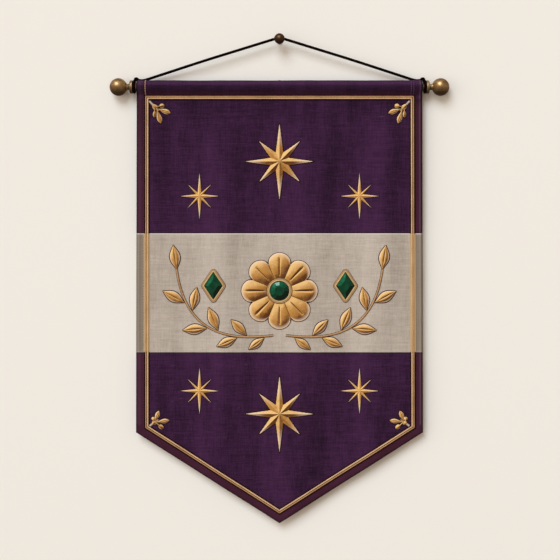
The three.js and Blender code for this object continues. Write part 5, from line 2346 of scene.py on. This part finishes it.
@dataclass
class HangingCord(Assembly):
    """One black cord, tied round each end of the rod and laid over the peg."""

    radius: float = 2.3
    nominal: float = 4.0
    twist: Twist = Twist(3, 9.0, 0.07, 1.0)
    neck: float = 8.3
    ring_place: float = 229.2
    turn: Place = (-55, 220)
    turn_steps: int = 36
    behind: float = 6.7
    behind_reach: Place = (110, 200)
    apex: float = 3.2
    start: Spot = (-228.2, -14.4, -64.5)
    off_the_ring: tuple[Spot, ...] = (
        (-228.6, -16.1, -64.8), (-226.9, -12.0, -63.1), (-224.2, -8.9, -62.7), (-220.5, -7.0, -62.9),
        (-216.0, -6.6, -62.9), (-211.0, -7.0, -61.85), (-206.0, -7.5, -60.35),
    )
    rise: tuple[Place, ...] = ((-190, -55.2), (-150, -42.8), (-110, -30.4), (-70, -18.0), (-30, -5.6))
    over_peg: tuple[Place, ...] = ((-12, 3.25), (-5, 1.08), (-2.9, 0.44))
    knot_place: float = 226.0
    knot_level: float = -61.6
    knot_back: float = 1.0
    knot_rope: float = 1.65
    knot_twist: Twist = Twist(3, 5.0, 0.1, 1.0)
    knot_reach: float = 1.75
    knot_loops: float = 0.75
    knot_depth: float = 1.1
    knot_height: float = 0.95

    def winding(self) -> list[Vector]:
        """The cord's turn round the left end of the rod, from behind the knot and back up to it."""
        points = [Vector(self.start)]
        for step in range(self.turn_steps + 1):
            angle = math.radians(lerp(*self.turn, step / self.turn_steps))
            out, down = self.neck * math.cos(angle), self.neck * math.sin(angle)
            points.append(Vector((-self.ring_place, -ROD_DEPTH + out, ROD_LEVEL - down)))
        return points

    def half_route(self) -> list[Vector]:
        """The cord from the left end of the rod to the peg."""
        rise = [*self.rise, *((x, self.apex - below) for x, below in self.over_peg)]
        free = [
            Vector((x, self.behind * smooth_step(-x, *self.behind_reach) - ROD_DEPTH, z)) for x, z in rise
        ]
        return self.winding() + [Vector(place) for place in self.off_the_ring] + free

    @staticmethod
    def smoothed(points: Sequence[Vector], pieces: int = 6) -> list[Vector]:
        """Draws a smooth line through points that lie unevenly apart.

        Args:
            points: the places that it goes through.
            pieces: stretches between two of them.

        Returns:
            Closer points on the smooth line.
        """
        line = [points[0]]
        padded = [2 * points[0] - points[1], *points, 2 * points[-1] - points[-2]]
        for a, b, c, d in zip(padded, padded[1:], padded[2:], padded[3:]):
            first, second, third = ((q - p).length ** 0.5 for p, q in ((a, b), (b, c), (c, d)))
            leave = (b - a) / first - (c - a) / (first + second) + (c - b) / second
            arrive = (c - b) / second - (d - b) / (second + third) + (d - c) / third
            for step in range(1, pieces + 1):
                t = step / pieces
                start, end = 2 * t**3 - 3 * t**2 + 1, -2 * t**3 + 3 * t**2
                out, into = t**3 - 2 * t**2 + t, t**3 - t**2
                line.append(b * start + c * end + (leave * out + arrive * into) * second)
        return line

    def build(self) -> None:
        half = self.half_route()
        mirrored = [Vector((-point.x, point.y, point.z)) for point in reversed(half)]
        middle = Vector((0, -ROD_DEPTH, self.apex))
        path = self.smoothed([*half, middle, *mirrored])
        route = Route(path)
        cord = Workbench.rope("black_cord", route, self.radius, self.twist, 12, 1.0)
        self.complete(
            cord, Finish.CORD, CORD_CREASE, "hanging_cord", "cord_turns_left", "cord_turns_right"
        )
        knots = [self.knot(label, side) for label, side in SIDES]
        tuple(path[0] * MM)
        [tuple(point * MM) for point in path]
        log.info("cord length %.3f m", route.length * MM)

    def knot(self, label: str, side: int) -> Object:
        """Ties one knot on top of the winding.

        Args:
            label: left or right.
            side: -1 or 1.

        Returns:
            The knot.
        """
        points = []
        for angle in angles(72):
            reach = self.knot_reach + self.knot_loops * math.cos(3 * angle)
            across, deep = reach * math.cos(2 * angle), self.knot_depth * reach * math.sin(2 * angle)
            points.append(Vector((across, deep, self.knot_height * math.sin(3 * angle))))
        route = Route(points, True)
        knot = Workbench.rope(f"black_knot_{label}", route, self.knot_rope, self.knot_twist, 10, 0.5)
        place = (side * self.knot_place, self.knot_back - ROD_DEPTH, self.knot_level)
        knot.data.transform(Matrix.Translation(place))
        return self.complete(knot, Finish.CORD, CORD_CREASE, f"cord_knot_{label}")


@dataclass(frozen=True)
class Lamp:
    """A far soft lamp, as wide as an angle, that lights the whole wall evenly."""

    name: str
    place: Spot
    spread: float
    power: float
    colour: Spot
    mirrored: bool


@dataclass
class Studio:
    """The camera, the pale wall and floor, and soft light."""

    camera_place: Spot = (0.0008, -2.0163, -0.3788)
    focal_length: float = 81.6
    sensor: float = 36.0
    wall_size: float = 6.0
    floor_level: float = -1.5
    wall_gap: float = 0.0006
    room_colour: Colour = (1.0, 0.8, 0.6, 1.0)
    room_light: float = 0.375
    room_gloss: float = 0.16
    lamps: tuple[Lamp, ...] = (
        Lamp("key", (-0.36, -1.0, 0.8), 34.0, 1.78, (0.78, 0.9, 1.0), True),
        Lamp("side", (-0.9, -1.0, 0.15), 70.0, 1.09, (1.0, 0.968, 0.92), False),
        Lamp("back", (0.6, 1.0, 0.7), 30.0, 1.6, (1.0, 0.98, 0.96), False),
    )

    def build(self) -> None:
        """Sets up the whole studio."""
        self.camera()
        self.backdrop()
        for lamp in self.lamps:
            self.light(lamp)
        world = bpy.data.worlds.new("pale_room")
        world.use_nodes = True
        nodes, links = world.node_tree.nodes, world.node_tree.links
        background = nodes["Background"]
        background.inputs["Color"].default_value = self.room_colour
        dimmed = nodes.new("ShaderNodeMapRange")
        dimmed.inputs["To Min"].default_value = self.room_light
        dimmed.inputs["To Max"].default_value = self.room_gloss
        links.new(nodes.new("ShaderNodeLightPath").outputs["Is Glossy Ray"], dimmed.inputs["Value"])
        links.new(dimmed.outputs["Result"], background.inputs["Strength"])
        bpy.context.scene.world = world
        bpy.context.scene.view_settings.view_transform = "Standard"

    def camera(self) -> None:
        """Places the camera as in the photograph."""
        lens = bpy.data.cameras.new("camera")
        lens.lens = self.focal_length
        lens.sensor_width = self.sensor
        camera = bpy.data.objects.new("camera", lens)
        camera.location = self.camera_place
        camera.rotation_euler = (math.radians(90), 0, 0)
        bpy.context.scene.collection.objects.link(camera)
        bpy.context.scene.camera = camera

    def light(self, lamp: Lamp) -> None:
        """Hangs one lamp, pointing at the origin from its place.

        Args:
            lamp: the lamp.
        """
        data = bpy.data.lights.new(lamp.name, "SUN")
        data.angle = math.radians(lamp.spread)
        data.energy = lamp.power
        data.color = lamp.colour
        holder = bpy.data.objects.new(lamp.name, data)
        holder.location = lamp.place
        holder.visible_glossy = lamp.mirrored
        holder.rotation_mode = "QUATERNION"
        holder.rotation_quaternion = Vector(lamp.place).to_track_quat("Z", "Y")
        bpy.context.scene.collection.objects.link(holder)

    def backdrop(self) -> None:
        """Makes the wall behind the pennant and the floor well below it."""
        upright = Matrix.Rotation(math.radians(90), 4, "X")
        middle = self.floor_level + self.wall_size / 2
        for name, place, unseen_by in (
            ("wall", Matrix.Translation((0, self.wall_gap, middle)) @ upright, "visible_shadow"),
            ("floor", Matrix.Translation((0, 0, self.floor_level)), "visible_diffuse"),
        ):
            Workbench.clear()
            bpy.ops.mesh.primitive_plane_add(size=self.wall_size)
            piece = Workbench.started(name)
            piece.data.transform(place)
            piece.visible_glossy = False
            setattr(piece, unseen_by, False)
            piece.data.materials.append(self.paint(f"{name}_paint", name == "wall"))
            piece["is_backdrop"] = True

    @staticmethod
    def paint(name: str, one_sided: bool) -> Material:
        """Pale matt paint, see-through from behind where it is one-sided.

        Args:
            name: the paint's name.
            one_sided: whether it is seen from the front only.

        Returns:
            The material.
        """
        shader = Shader(name)
        matt = {"Base Color": dyed(246, 242, 236), "Roughness": 0.95, "Specular IOR Level": 0.1}
        surface = shader.node("ShaderNodeBsdfPrincipled", {}, matt).outputs["BSDF"]
        if one_sided:
            behind = shader.node("ShaderNodeNewGeometry").outputs["Backfacing"]
            clear = shader.node("ShaderNodeBsdfTransparent").outputs["BSDF"]
            mixed = {0: behind, 1: surface, 2: clear}
            surface = shader.node("ShaderNodeMixShader", {}, mixed).outputs["Shader"]
        shader.node("ShaderNodeOutputMaterial", {}, {"Surface": surface})
        return shader.material


def corners(box: tuple[Vector, Vector]) -> list[list[float]]:
    """A box's lowest and highest corner as plain lists of numbers."""
    return [[float(part) for part in corner] for corner in box]


def main() -> None:
    """Builds the studio, then every part of the pennant in order."""
    logging.basicConfig(level=logging.INFO, format="%(name)s: %(message)s")
    Studio().build()
    wardrobe = Wardrobe()
    for assembly in (
        HangingCord(wardrobe),
        RodAndPeg(wardrobe),
        ClothPanels(wardrobe),
        BraidBorder(wardrobe),
        Stars(wardrobe),
        CornerSprigs(wardrobe),
        MiddleOrnament(wardrobe),
    ):
        assembly.build()
    {"cad": corners(cad_box), "visual": corners(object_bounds())}


if __name__ == "__main__":
    main()
